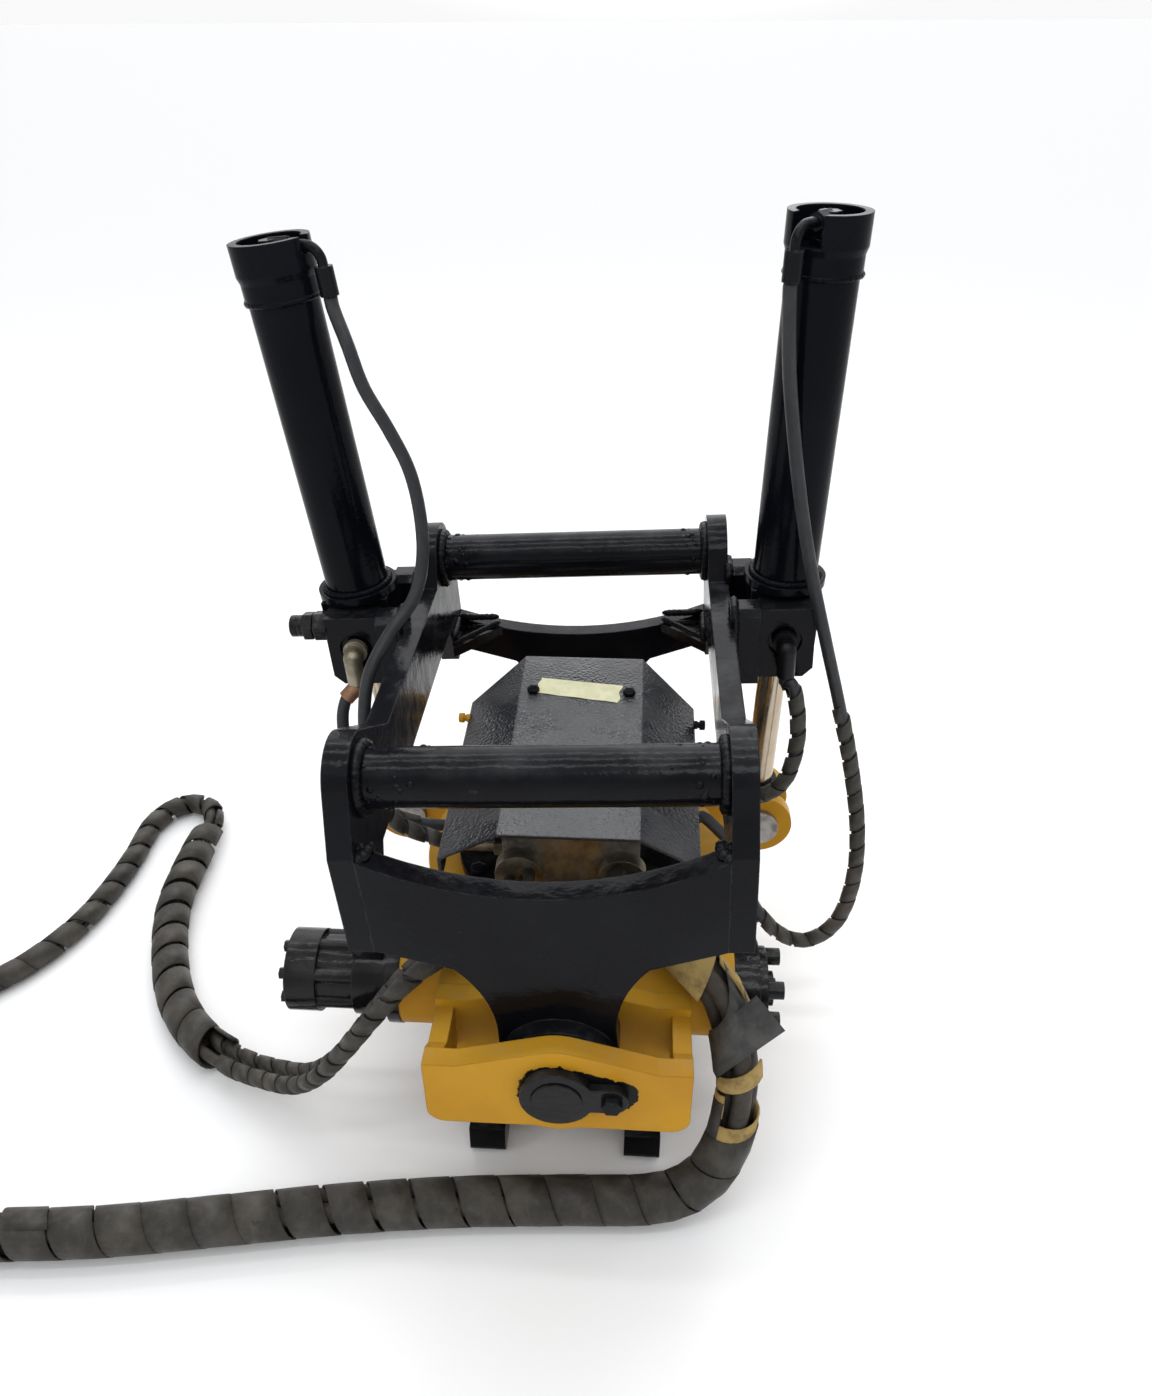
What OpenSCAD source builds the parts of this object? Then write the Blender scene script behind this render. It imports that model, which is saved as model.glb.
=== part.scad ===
// Excavator tilt rotator: an upper pin hitch that tilts on a rotor housing, with a
// worm-driven rotor and a lower quick hitch under it. Millimetres, +Z up, +X to the
// right, +Y to the rear. The origin is on the ground, under the rotor's axis.

/* [Upper hitch] */
// Diameter of the two cross pins
pin_d = 60; // [50:1:70]
// Distance between the two cross pins
pin_spacing = 480; // [460:1:500]
// Clear width between the side plates
pin_gap = 350; // [340:1:370]
// Thickness of the side plates and end plates
plate_t = 25; // [20:1:28]
// Height of the cross pins above the tilt axis
pin_rise = 327; // [318:1:345]
// Radius of the bosses round the cross pins
boss_r = 47; // [42:1:50]
// Tilt of the hitch as parked, right side up
rest_tilt = 3; // [0:0.5:6]
// Reach of the end plates beyond the cross pins
end_reach = 68; // [62:1:76]
// Drop of the side plates' top edge below the cross pins
top_drop = 15; // [5:1:25]
// Drop of the side plates' bottom edge below the cross pins
bottom_drop = 100; // [85:1:110]
// Drop of the side plates' ends below the cross pins
end_drop = 165; // [155:1:170]
// Radius of the end plates' eyes
eye_r = 63.5; // [58:0.5:66]
// Length of the end plates' eyes
eye_l = 61; // [50:1:70]
// Width of the end plates' necks
neck_w = 124; // [110:1:128]

/* [Rotor housing] */
// Height of the tilt axis above the ground
tilt_z = 233; // [229:1:245]
// Diameter of the tilt pins
tilt_pin_d = 52; // [45:1:56]
// Width of the tilt brackets
bracket_w = 278; // [270:1:300]
// Thickness of the brackets' plates
bracket_t = 22; // [18:1:26]
// Radius of the rotor housing
drum_r = 190; // [186:1:200]
// Height of the rotor housing
drum_h = 114; // [108:1:118]
// Radius of the worm's housing
worm_case_r = 56; // [52:1:58]
// Half length of the worm's housing
worm_case_x = 190; // [180:1:195]

/* [Worm drive] */
// Module of the worm and its wheel
gear_module = 8; // [7.8:0.1:8.2]
// Teeth on the worm wheel
wheel_teeth = 38; // [37:1:38]
// Pitch radius of the worm
worm_r = 28; // [26:1:30]
// Face width of the worm wheel
wheel_w = 36; // [30:1:40]
// Length of the hydraulic motor
motor_l = 120; // [100:1:130]
// Radius of the hydraulic motor
motor_r = 49; // [42:1:52]
// Length of the end cap
end_cap_l = 48; // [36:1:56]

/* [Tilt cylinders] */
// Distance of the trunnions from the middle
trunnion_x = 262; // [258:1:270]
// Height of the trunnions above the tilt axis
trunnion_z = 285; // [280:1:290]
// Distance of the cylinders behind the rotor's axis
cylinder_y = 140; // [136:1:146]
// Diameter of the trunnions
trunnion_d = 40; // [34:1:46]
// Outer diameter of the barrels
barrel_d = 77; // [74:1:80]
// Inner diameter of the barrels
bore_d = 64; // [60:1:66]
// Length of the barrels above the trunnions
barrel_l = 430; // [420:1:440]
// Diameter of the rods
rod_d = 36; // [32:1:42]
// Length of the rods, from eye to piston
rod_l = 527; // [522:1:532]
// Distance of the rod ears from the middle
ear_x = 244; // [240:1:250]
// Height of the rod ears above the tilt axis
ear_z = -10; // [-15:1:-5]
// Width of the rod eyes
rod_eye_w = 38; // [32:1:42]
// Outer diameter of the guard collars
collar_d = 87; // [84:1:92]
// Height of the guard collars above the barrels
collar_rise = 35; // [28:1:42]

/* [Cover] */
// Width of the cover's middle panel
cover_top_w = 158; // [140:1:180]
// Width of the whole cover
cover_w = 296; // [280:1:310]
// Length of the cover
cover_l = 345; // [320:1:360]
// Thickness of the cover's sheet
cover_t = 4; // [3:0.5:6]
// Height of the cover's front edge above the ground
cover_z = 410; // [404:1:416]

/* [Lower hitch] */
// Diameter of the tool pins that the hooks take
tool_pin_d = 60; // [55:1:64]
// Distance between the tool pins
tool_spacing = 480; // [460:1:500]
// Height of the tool pins above the ground
tool_pin_z = 75; // [72:1:80]
// Distance of the hook plates from the middle
hook_x = 93; // [88:1:100]
// Thickness of the hook plates
hook_t = 43; // [36:1:46]
// Height of the hook plates
hook_h = 126; // [123:1:128]
// Diameter of the lock pins
lock_d = 34; // [30:1:36]

/* [Hoses] */
// Diameter of the hydraulic hoses
hose_d = 17; // [14:1:20]
// Diameter of the left feed bundle
left_bundle_d = 54; // [46:1:56]
// Diameter of the right feed bundle
right_bundle_d = 56; // [46:1:58]
// Diameter of the left feed bundle's tail
tail_d = 34; // [28:1:36]

/* [Hidden] */
$fn = 64;

// Fits
fit_gap = 0.05;
run_gap = 0.3;
side_gap = 1;

// Colours of the finishes
black_paint = [0.04, 0.04, 0.05];
yellow_paint = [0.80, 0.58, 0.13];
cover_paint = [0.20, 0.20, 0.22];
bare_steel = [0.55, 0.55, 0.57];
zinc_plate = [0.68, 0.66, 0.58];
hose_rubber = [0.12, 0.11, 0.10];

// Places along the rotor, counted from the middle towards either end
pin_y = pin_spacing / 2;
end_y = pin_y + end_reach;
eye_y = end_y - plate_t / 2;
slot_y = [eye_y - eye_l / 2 - side_gap, eye_y + eye_l / 2 + side_gap];
pad_y = slot_y[0] - bracket_t;
face_y = slot_y[1] + bracket_t;

// Upper hitch, with heights above the tilt axis
half_gap = pin_gap / 2;
plate_x = half_gap + plate_t;
top_edge = pin_rise - top_drop;
bottom_edge = pin_rise - bottom_drop;
deep_edge = pin_rise - end_drop;
corner_drop = 45;
corner_edge = pin_rise - corner_drop;
front_notch = 114;
rear_notch = 61;
deep_end = 58;
deep_slope = 35;
shoulder_x = 98;
shoulder_drop = 25;
neck_z = 45;
neck_arc_r = (pow(shoulder_x - neck_w / 2, 2) + pow(deep_edge - shoulder_drop - neck_z, 2))
  / (2 * (shoulder_x - neck_w / 2));
front_dip = 46;
rear_dip = 32;
rear_rise = 50;
rear_top = deep_edge + rear_rise;
gusset_leg = 62;
gusset_t = 14;
bush_wall = 6;

// Rotor housing
drum_z = 148;
drum_top = drum_z + drum_h;
bracket_low = 58;
bracket_high = 34;
bracket_hump_r = 62;
bracket_hump_x = 104;
bracket_corner = 20;
wall_t = 20;
wall_high = 22;
wall_ramp = 16;
inner_drop = 4;
ear_r = 46;
ear_t = 20;
ear_root_x = 60;
ear_gap = rod_eye_w / 2 + side_gap + 0.5;
rod_pin_r = 20;
rod_pin_head_r = 27;
rod_pin_head = 8;
lock_plate_r = 38.5;
lock_plate_t = 10;
lock_arm = 57;
lock_arm_r = 17;
pin_proud = 2;
top_plate_r = 150;
top_plate_t = 12;
core_r = 58;

// Worm drive
wheel_r = wheel_teeth * gear_module / 2;
worm_y = -(wheel_r + worm_r);
worm_z = tilt_z - 21;
tooth_pitch = PI * gear_module;
addendum = 0.85 * gear_module;
dedendum = 1.15 * gear_module;
thin_tooth = 0.38;
worm_bore_r = worm_r + addendum + 5;
worm_turns = 4.5;
worm_journal_r = 17.5;
worm_bearing_x = worm_case_x - 34;
worm_bearing_l = 24;
wheel_inner_r = 112;
wheel_room = 4;
ring_outer_r = wheel_r + addendum + wheel_room;
race_w = 12.8;
ring_gap_r = ring_outer_r - race_w;
ring_inner_r = ring_gap_r - 30;
ring_z = drum_z + 4;
ring_h = 26;
ring_lip = 4;
wheel_z = worm_z - wheel_w / 2;
adapter_t = 15;
motor_bolt_n = 7;
end_cap_bolt_n = 4;

// Tilt cylinders
head_w = 84;
head_l = 66;
head_low = 45;
head_high = 50;
flange_r = 49;
flange_t = 10;
gland_r = 32;
gland_l = 27;
cap_t = 15;
port_boss = 8;
piston_l = 36;
collar_lap = 24;
collar_wall = 9;
collar_step = 2.5;
collar_notches = [16, 36];
notch_floors = [18, 4];
elbow_reach = 58;
elbow_rise = 26;
elbow_drop = 52;
elbow_r = 5.5;
elbow_bend_r = 18;
elbow_nut_r = 10;
elbow_body_r = 12;
ferrule_l = 30;
ferrule_wall = 1.5;
elbow_turns = [15, 50];
hose_lead = 14;
hose_gap = 0.5;
rod_eye_r = 37;
rod_neck_r = 23;
rod_neck_l = 56;
block_w = 66;
block_l = 32;
block_low = 50;
block_high = 43;
ear_block_l = 40;
ear_block_low = 53;
ear_block_high = 46;
ear_chamfer = 8;
block_y = head_l / 2 + side_gap;
block_x = trunnion_x - 31;
stub_l = 29;

// Lower hitch
tool_y = tool_spacing / 2;
jaw_r = tool_pin_d / 2 + 0.5;
mouth_l = 100;
hook_tip = 32;
hook_nose = 22;
hook_leg = 26;
flange_z = hook_h;
rotor_flange_r = 165;
beam_front = [-205, -172];
beam_rear = [128, 203];
beam_z = 6;
lock_x = 45;
lock_z = tool_pin_z - jaw_r - lock_d / 2 - 1;
lock_start = 60;
yoke_t = 22;
lock_barrel_r = 24;
lock_barrel = [-172, -42];
lock_rod_r = 11;

// Cover
cover_y = -155;
cover_slope = 3.4;
cover_fall = 40;
cover_lip = 30;
cover_cut = 55;
post_r = 9;
post_x = 62;
post_y = [-90, 110];
cover_bolt_r = 8;

// Valve manifold
manifold_w = 160;
manifold_y = [-110, 130];
manifold_h = 98;
manifold_z = drum_top + top_plate_t;
manifold_pocket = 16;
fitting_l = 70;
fitting_r = 12;
left_ports = [[-60, 316], [-24, 308]];
right_ports = [[-4, 316], [36, 326]];
feed_x = 60;
feed_z = 325;
feed_stub = 18;

// Routes of the hoses, as chosen by hand
left_cap_route = [
  [-252, 112, 865], [-238, 106, 820], [-214, 101, 775], [-194, 96, 730], [-184, 86, 680],
  [-182, 68, 632], [-192, 46, 592], [-217, 15, 562], [-238, -20, 524], [-242, -50, 470],
  [-236, -68, 410], [-215, -68, 350]
];
right_cap_route = [
  [220, 92, 850], [232, 90, 780], [248, 78, 700], [268, 64, 620], [292, 53, 540],
  [318, 47, 455], [342, 40, 370], [358, 24, 290], [360, 4, 220], [344, -14, 160],
  [308, -22, 130], [268, -20, 140], [232, -12, 185], [216, -6, 250]
];
left_port_route = [
  [-286, 44, 455], [-292, 28, 430], [-284, 6, 385], [-262, -12, 345], [-220, -22, 315]
];
right_port_route = [
  [256, 46, 490], [266, 38, 455], [268, 26, 410], [256, 20, 360], [222, 26, 330]
];
left_feed_route = [
  [-60, -128, 325], [-60, -146, 325], [-84, -184, 320], [-124, -220, 306], [-166, -247, 287],
  [-203, -260, 245], [-240, -264, 190], [-276, -258, 135], [-320, -236, 80], [-370, -208, 45],
  [-432, -180, 29], [-495, -142, 28], [-550, -80, 28], [-592, 5, 28], [-620, 95, 28], [-628, 185, 28],
  [-628, 260, 28]
];
tail_route = [
  [-628, 260, 28], [-628, 286, 28], [-642, 322, 23], [-664, 342, 19], [-696, 345, 18], [-722, 322, 18],
  [-735, 280, 18], [-733, 215, 18], [-738, 140, 18], [-752, 65, 18], [-780, 0, 18],
  [-815, -48, 18], [-862, -85, 18], [-915, -100, 18], [-965, -100, 18]
];
right_feed_route = [
  [60, -128, 325], [60, -146, 325], [88, -184, 320], [128, -220, 309], [167, -250, 286], [186, -262, 238],
  [196, -281, 190], [194, -296, 135], [182, -310, 85], [156, -325, 48], [105, -337, 31],
  [0, -344, 30], [-120, -353, 30], [-250, -369, 30], [-380, -390, 30], [-510, -410, 30],
  [-630, -420, 30], [-730, -420, 30]
];
coupling_r = 12;
coupling_l = 72;
tail_coupling_r = 8;

// Points and tangents

// Points along an arc in a plane
function arc(c, r, a0, a1, n) =
  [for (i = [0 : n]) let (a = a0 + (a1 - a0) * i / n) c + r * [cos(a), sin(a)]];

// Point where a line from p touches the circle c, r
function touch(p, c, r, side) =
  let (d = p - c, a = atan2(d.y, d.x) + side * acos(r / norm(d))) c + r * [cos(a), sin(a)];

function mirrored(pts) = [for (i = [len(pts) - 1 : -1 : 0]) [-pts[i].x, pts[i].y]];

// Place in the row of a point given on the tilted hitch
function tilted(p) = [
  p.x * cos(rest_tilt) - p.z * sin(rest_tilt), p.y,
  tilt_z + p.x * sin(rest_tilt) + p.z * cos(rest_tilt)
];
function trunnion_at(s) = tilted([s * trunnion_x, cylinder_y, trunnion_z]);
function ear_at(s) = [s * ear_x, cylinder_y, tilt_z + ear_z];
function reach(s) = norm(trunnion_at(s) - ear_at(s));
function lean(s) = let (d = trunnion_at(s) - ear_at(s)) atan2(d.x, d.z);
function on_cylinder(s, p) = trunnion_at(s)
  + [p.x * cos(lean(s)) + p.z * sin(lean(s)), p.y, p.z * cos(lean(s)) - p.x * sin(lean(s))];
function elbow_turn(s) = s < 0 ? elbow_turns[0] : elbow_turns[1];
function elbow_foot(s) = on_cylinder(s, [
  -s * elbow_reach * cos(elbow_turn(s)), -elbow_reach * sin(elbow_turn(s)),
  barrel_l + elbow_rise - elbow_drop
]);
port_drop = 34;
port_out = 22;
function port_foot(s) = tilted([
  s * trunnion_x, cylinder_y - block_y - block_l - port_out, trunnion_z - port_drop
]);

// Rings of a tube along a route, and the faces that close them
function heading(p, i) =
  let (d = p[min(i + 1, len(p) - 1)] - p[max(i - 1, 0)]) d / norm(d);
function across(t) = let (v = abs(t.z) > 0.8 ? [1, 0, 0] : [0, 0, 1], c = cross(t, v)) c / norm(c);
function carried(v, t) = let (c = v - (v * t) * t) c / norm(c);
function sides(p, i) =
  i == 0 ? across(heading(p, 0)) : carried(sides(p, i - 1), heading(p, i));
function ring(p, i, r, n) =
  let (t = heading(p, i), u = sides(p, i), w = cross(t, u))
  [for (k = [0 : n - 1]) p[i] + r * (u * cos(360 * k / n) + w * sin(360 * k / n))];
module tube(p, r, n = 10) {
  last = len(p) - 1;
  polyhedron(
    points = [for (i = [0 : last]) each ring(p, i, r, n)],
    faces = concat(
      [[for (k = [0 : n - 1]) k]],
      [for (i = [0 : last - 1], k = [0 : n - 1])
        [i * n + k, (i + 1) * n + k, (i + 1) * n + (k + 1) % n, i * n + (k + 1) % n]],
      [[for (k = [n - 1 : -1 : 0]) last * n + k]]
    )
  );
}

// Shared shapes

module plate_along_y(y0, y1)
  translate([0, y1, 0]) rotate([90, 0, 0]) linear_extrude(y1 - y0) children();
module plate_along_x(x0, x1)
  translate([x0, 0, 0]) rotate([90, 0, 90]) linear_extrude(x1 - x0) children();
module rod_along_y(r, y0, y1)
  translate([0, y0, 0]) rotate([-90, 0, 0]) cylinder(h = y1 - y0, r = r);
module rod_along_x(r, x0, x1)
  translate([x0, 0, 0]) rotate([0, 90, 0]) cylinder(h = x1 - x0, r = r);
module at_both_ends() {
  children();
  mirror([0, 1, 0]) children();
}
module at_both_sides() {
  children();
  mirror([1, 0, 0]) children();
}
module on_side(s) mirror([s < 0 ? 1 : 0, 0, 0]) children();
module in_hitch() translate([0, 0, tilt_z]) rotate([0, -rest_tilt, 0]) children();
module in_cylinder(s) translate(trunnion_at(s)) rotate([0, lean(s), 0]) children();
module in_cover() translate([0, cover_y, cover_z]) rotate([cover_slope, 0, 0]) children();
module at_worm() translate([0, worm_y, worm_z]) children();
module hex_head(r) cylinder(h = 0.7 * r, r = r, $fn = 6);
module socket_bolt(r, head_r, head) {
  difference() {
    cylinder(h = head, r = head_r);
    translate([0, 0, head / 2]) cylinder(h = head, r = r, $fn = 6);
  }
}

// Upper hitch

module side_outline() {
  front = [-pin_y, pin_rise];
  rear = [pin_y, pin_rise];
  front_corner = [-end_y, corner_edge];
  rear_corner = [end_y, corner_edge];
  front_top = [-pin_y + front_notch, top_edge];
  rear_top_corner = [pin_y - rear_notch, top_edge];
  translate(front) circle(boss_r);
  translate(rear) circle(boss_r);
  polygon([
    [-end_y, deep_edge], front_corner, touch(front_corner, front, boss_r, -1),
    touch(front_top, front, boss_r, 1), front_top, rear_top_corner,
    touch(rear_top_corner, rear, boss_r, -1), touch(rear_corner, rear, boss_r, 1),
    rear_corner, [end_y, deep_edge], [end_y - deep_end, deep_edge],
    [end_y - deep_end - deep_slope, bottom_edge], [-end_y + deep_end + deep_slope, bottom_edge],
    [-end_y + deep_end, deep_edge]
  ]);
}

module side_plates() {
  color(black_paint) in_hitch() at_both_sides() difference() {
    plate_along_x(half_gap, plate_x) side_outline();
    for (y = [-pin_y, pin_y])
      translate([0, y, pin_rise]) rod_along_x(pin_d / 2 + fit_gap, half_gap - 1, plate_x + 1);
  }
}

module cross_pins() {
  color(black_paint) in_hitch() for (y = [-pin_y, pin_y])
    translate([0, y, pin_rise]) rod_along_x(pin_d / 2, -plate_x, plate_x);
}

// Funnel-shaped end plate that narrows to the eye on the tilt axis
module end_outline(top, dip) {
  dip_r = (half_gap * half_gap + dip * dip) / (2 * dip);
  shoulder = [shoulder_x, deep_edge - shoulder_drop];
  neck_c = [neck_w / 2 + neck_arc_r, neck_z];
  from_shoulder = atan2(shoulder.y - neck_c.y, shoulder.x - neck_c.x);
  half = concat(
    [[half_gap, top], [half_gap, deep_edge]],
    arc(neck_c, neck_arc_r, from_shoulder, 180, 10),
    [[eye_r, 0]]
  );
  dip_a = asin(half_gap / dip_r);
  polygon(concat(
    arc([0, top - dip + dip_r], dip_r, 270 - dip_a, 270 + dip_a, 16),
    half, mirrored(half)
  ));
}

module end_plate(top, dip) {
  difference() {
    union() {
      plate_along_y(-end_y, -end_y + plate_t) end_outline(top, dip);
      rod_along_y(eye_r, -eye_y - eye_l / 2, -eye_y + eye_l / 2);
    }
    rod_along_y(tilt_pin_d / 2 + bush_wall + 2 * fit_gap, -face_y, -pad_y);
  }
}

module front_end_plate() color(black_paint) in_hitch() end_plate(corner_edge - 4, front_dip);

module rear_end_plate()
  color(black_paint) in_hitch() mirror([0, 1, 0]) end_plate(rear_top, rear_dip);

module corner_gussets() {
  y = end_y - plate_t;
  color(black_paint) in_hitch() at_both_sides()
    translate([0, 0, rear_top - gusset_t - 16]) linear_extrude(gusset_t)
      polygon([[half_gap, y], [half_gap - gusset_leg, y], [half_gap, y - gusset_leg]]);
}

module eye_bushes() {
  r = tilt_pin_d / 2;
  color(zinc_plate) in_hitch() at_both_ends() difference() {
    rod_along_y(r + bush_wall + fit_gap, -eye_y - eye_l / 2, -eye_y + eye_l / 2);
    rod_along_y(r + fit_gap, -face_y, -pad_y);
  }
}

// Welded ears that carry the trunnion blocks in front of and behind each cylinder
module trunnion_ears() {
  near = cylinder_y - block_y - 2;
  low = trunnion_z - ear_block_low;
  high = trunnion_z + ear_block_high;
  color(black_paint) in_hitch() at_both_sides() for (y = [near - ear_block_l, 2 * cylinder_y - near])
    plate_along_x(plate_x, block_x) polygon([
      [y, low], [y + ear_block_l, low], [y + ear_block_l, high - ear_chamfer],
      [y + ear_block_l - ear_chamfer, high], [y + ear_chamfer, high], [y, high - ear_chamfer]
    ]);
}

module trunnion_blocks() {
  color(black_paint) in_hitch() at_both_sides()
    for (y = [cylinder_y - block_y - block_l, cylinder_y + block_y]) difference() {
      plate_along_y(y, y + block_l) polygon([
        [block_x, trunnion_z - block_low], [block_x + block_w - 12, trunnion_z - block_low],
        [block_x + block_w, trunnion_z - block_low + 12], [block_x + block_w, trunnion_z + block_high],
        [block_x, trunnion_z + block_high]
      ]);
      translate([trunnion_x, 0, trunnion_z])
        rod_along_y(trunnion_d / 2 + fit_gap, y - 1, y + block_l + 1);
    }
}

// Relief cartridge screwed into the side of the left front block
module cartridge_valve() {
  y = cylinder_y - block_y - block_l / 2;
  x = block_x + block_w;
  color(bare_steel) in_hitch() translate([0, y, trunnion_z + 26]) {
    rotate([0, -90, 0]) translate([0, 0, x]) cylinder(h = 14, r = 15, $fn = 6);
    rod_along_x(11, -x - 34, -x - 14);
    rotate([0, -90, 0]) translate([0, 0, x + 34]) cylinder(h = 12, r = 10, $fn = 6);
  }
}

// Oil ports at the trunnions' front ends, turned down into the hoses
module port_fittings() {
  y = cylinder_y - block_y - block_l;
  color(zinc_plate) in_hitch() for (s = [-1, 1])
    translate([s * trunnion_x, y, trunnion_z]) {
      rod_along_y(15, -8, 0);
      rod_along_y(11, -port_out, 0);
      translate([0, -port_out, 0]) sphere(11);
      translate([0, -port_out, -port_drop]) cylinder(h = port_drop, r = 11);
    }
}

// Tilt cylinders, drawn upright about their trunnions

module head() {
  difference() {
    union() {
      translate([-head_w / 2, -head_l / 2, -head_low]) cube([head_w, head_l, head_low + head_high]);
      rod_along_y(trunnion_d / 2, -head_l / 2 - stub_l, head_l / 2 + stub_l);
    }
    translate([0, 0, -head_low - 1])
      cylinder(h = head_low + head_high + 2, r = rod_d / 2 + fit_gap);
  }
}

module barrel() {
  difference() {
    union() {
      translate([0, 0, head_high]) cylinder(h = flange_t, r = flange_r);
      translate([0, 0, head_high]) cylinder(h = barrel_l - head_high, r = barrel_d / 2);
    }
    translate([0, 0, head_high - 1])
      cylinder(h = barrel_l - cap_t - head_high + 1, r = bore_d / 2);
  }
  translate([0, 0, barrel_l]) cylinder(h = port_boss, r = 17, $fn = 6);
}

// Thick ring on top of the barrel, with a thinner skirt round it and a notch for the elbow
module collar(s) {
  i = s < 0 ? 0 : 1;
  outer = collar_d / 2;
  skirt = outer - collar_step;
  top = barrel_l + collar_rise;
  difference() {
    rotate_extrude() polygon([
      [barrel_d / 2 + fit_gap, barrel_l - collar_lap], [skirt, barrel_l - collar_lap],
      [skirt, barrel_l - 2 * collar_step], [outer, barrel_l + collar_step], [outer, top],
      [outer - collar_wall, top], [outer - collar_wall, barrel_l], [barrel_d / 2 + fit_gap, barrel_l]
    ]);
    rotate([0, 0, s < 0 ? -elbow_turn(s) : 180 + elbow_turn(s)])
      translate([0, -collar_notches[i] / 2, barrel_l + notch_floors[i]])
        cube([collar_d, collar_notches[i], collar_rise]);
  }
}

module gland() {
  difference() {
    translate([0, 0, -head_low - gland_l]) cylinder(h = gland_l, r = gland_r);
    translate([0, 0, -head_low - gland_l - 1]) cylinder(h = gland_l + 2, r = rod_d / 2 + fit_gap);
  }
}

module elbow(s) {
  top = barrel_l + elbow_rise;
  bend_x = elbow_reach - elbow_bend_r;
  rotate([0, 0, s < 0 ? -elbow_turn(s) : 180 + elbow_turn(s)]) {
    translate([0, 0, barrel_l + port_boss]) cylinder(h = elbow_rise, r = elbow_body_r, $fn = 6);
    translate([0, 0, top]) rotate([0, 90, 0]) cylinder(h = 2 * elbow_body_r, r = elbow_nut_r, $fn = 6);
    translate([0, 0, top]) rod_along_x(elbow_r, elbow_body_r, bend_x);
    translate([bend_x, 0, top - elbow_bend_r]) rotate([90, 0, 0])
      rotate_extrude(angle = 90) translate([elbow_bend_r, 0]) circle(elbow_r);
    translate([elbow_reach, 0, top - elbow_drop]) {
      cylinder(h = elbow_drop - elbow_bend_r, r = elbow_r);
      cylinder(h = ferrule_l, r = hose_d / 2 + ferrule_wall);
    }
  }
}

module rod(s) {
  translate([0, 0, rod_neck_l - reach(s)])
    cylinder(h = rod_l - rod_neck_l - piston_l / 2, r = rod_d / 2);
}

module piston(s) {
  translate([0, 0, rod_l - reach(s) - piston_l / 2]) cylinder(h = piston_l, r = bore_d / 2 - fit_gap);
}

module rod_eye(s) {
  translate([0, 0, -reach(s)]) {
    rod_along_y(rod_eye_r, -rod_eye_w / 2, rod_eye_w / 2);
    intersection() {
      cylinder(h = rod_neck_l, r = rod_neck_r);
      translate([-rod_neck_r, -rod_eye_w / 2, 0]) cube([2 * rod_neck_r, rod_eye_w, rod_neck_l]);
    }
  }
}

module left_head() color(black_paint) in_cylinder(-1) head();
module left_barrel() color(black_paint) in_cylinder(-1) barrel();
module left_collar() color(black_paint) in_cylinder(-1) collar(-1);
module left_gland() color(bare_steel) in_cylinder(-1) gland();
module left_elbow() color(black_paint) in_cylinder(-1) elbow(-1);
module left_rod() color(bare_steel) in_cylinder(-1) rod(-1);
module left_piston() color(bare_steel) in_cylinder(-1) piston(-1);
module left_rod_eye() color(black_paint) in_cylinder(-1) rod_eye(-1);
module right_head() color(black_paint) in_cylinder(1) head();
module right_barrel() color(black_paint) in_cylinder(1) barrel();
module right_collar() color(black_paint) in_cylinder(1) collar(1);
module right_gland() color(bare_steel) in_cylinder(1) gland();
module right_elbow() color(black_paint) in_cylinder(1) elbow(1);
module right_rod() color(bare_steel) in_cylinder(1) rod(1);
module right_piston() color(bare_steel) in_cylinder(1) piston(1);
module right_rod_eye() color(black_paint) in_cylinder(1) rod_eye(1);

// Rotor housing

module ear_plates() {
  e = ear_at(1);
  for (s = [-1, 1], y = [-ear_gap - ear_t, ear_gap]) on_side(s)
    plate_along_y(cylinder_y + y, cylinder_y + y + ear_t) {
      translate([e.x, e.z]) circle(ear_r);
      polygon([
        [ear_root_x, drum_z + 30], [e.x, e.z - ear_r], [e.x, e.z + ear_r], [ear_root_x, drum_top]
      ]);
    }
}

module pads() {
  low = tilt_z - bracket_low;
  at_both_ends() translate([-bracket_w / 2, -pad_y, low])
    cube([bracket_w, pad_y - drum_r / 2, bracket_low + bracket_high]);
}

module rotor_housing() {
  color(yellow_paint) difference() {
    union() {
      translate([0, 0, drum_z]) cylinder(h = drum_h, r = drum_r, $fn = 128);
      at_worm() rod_along_x(worm_case_r, -worm_case_x, worm_case_x);
      pads();
      ear_plates();
    }
    translate([0, 0, drum_z - 1])
      cylinder(h = wheel_z + wheel_w + wheel_room - drum_z + 1, r = ring_outer_r);
    translate([0, 0, drum_z]) cylinder(h = drum_h + 1, r = core_r + fit_gap);
    translate([0, 0, drum_top]) cylinder(h = top_plate_t, r = top_plate_r + run_gap);
    at_worm() rod_along_x(worm_bore_r, -worm_case_x - 1, worm_case_x + 1);
    for (s = [-1, 1]) translate(ear_at(s))
      rod_along_y(rod_pin_r + fit_gap, -ear_gap - ear_t - 1, ear_gap + ear_t + 1);
  }
}

module bracket_outline(hump) {
  w = bracket_w / 2;
  c = bracket_corner;
  translate([-w, -bracket_low + c]) square([bracket_w, bracket_low + bracket_high - c]);
  translate([-w + c, -bracket_low]) square([bracket_w - 2 * c, c]);
  for (x = [-w + c, w - c]) translate([x, -bracket_low + c]) circle(c);
  circle(hump);
  shoulder = [bracket_hump_x, bracket_high];
  polygon([
    [-shoulder.x, bracket_high], mirrored([touch(shoulder, [0, 0], hump, 1)])[0],
    touch(shoulder, [0, 0], hump, 1), shoulder
  ]);
}

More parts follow.
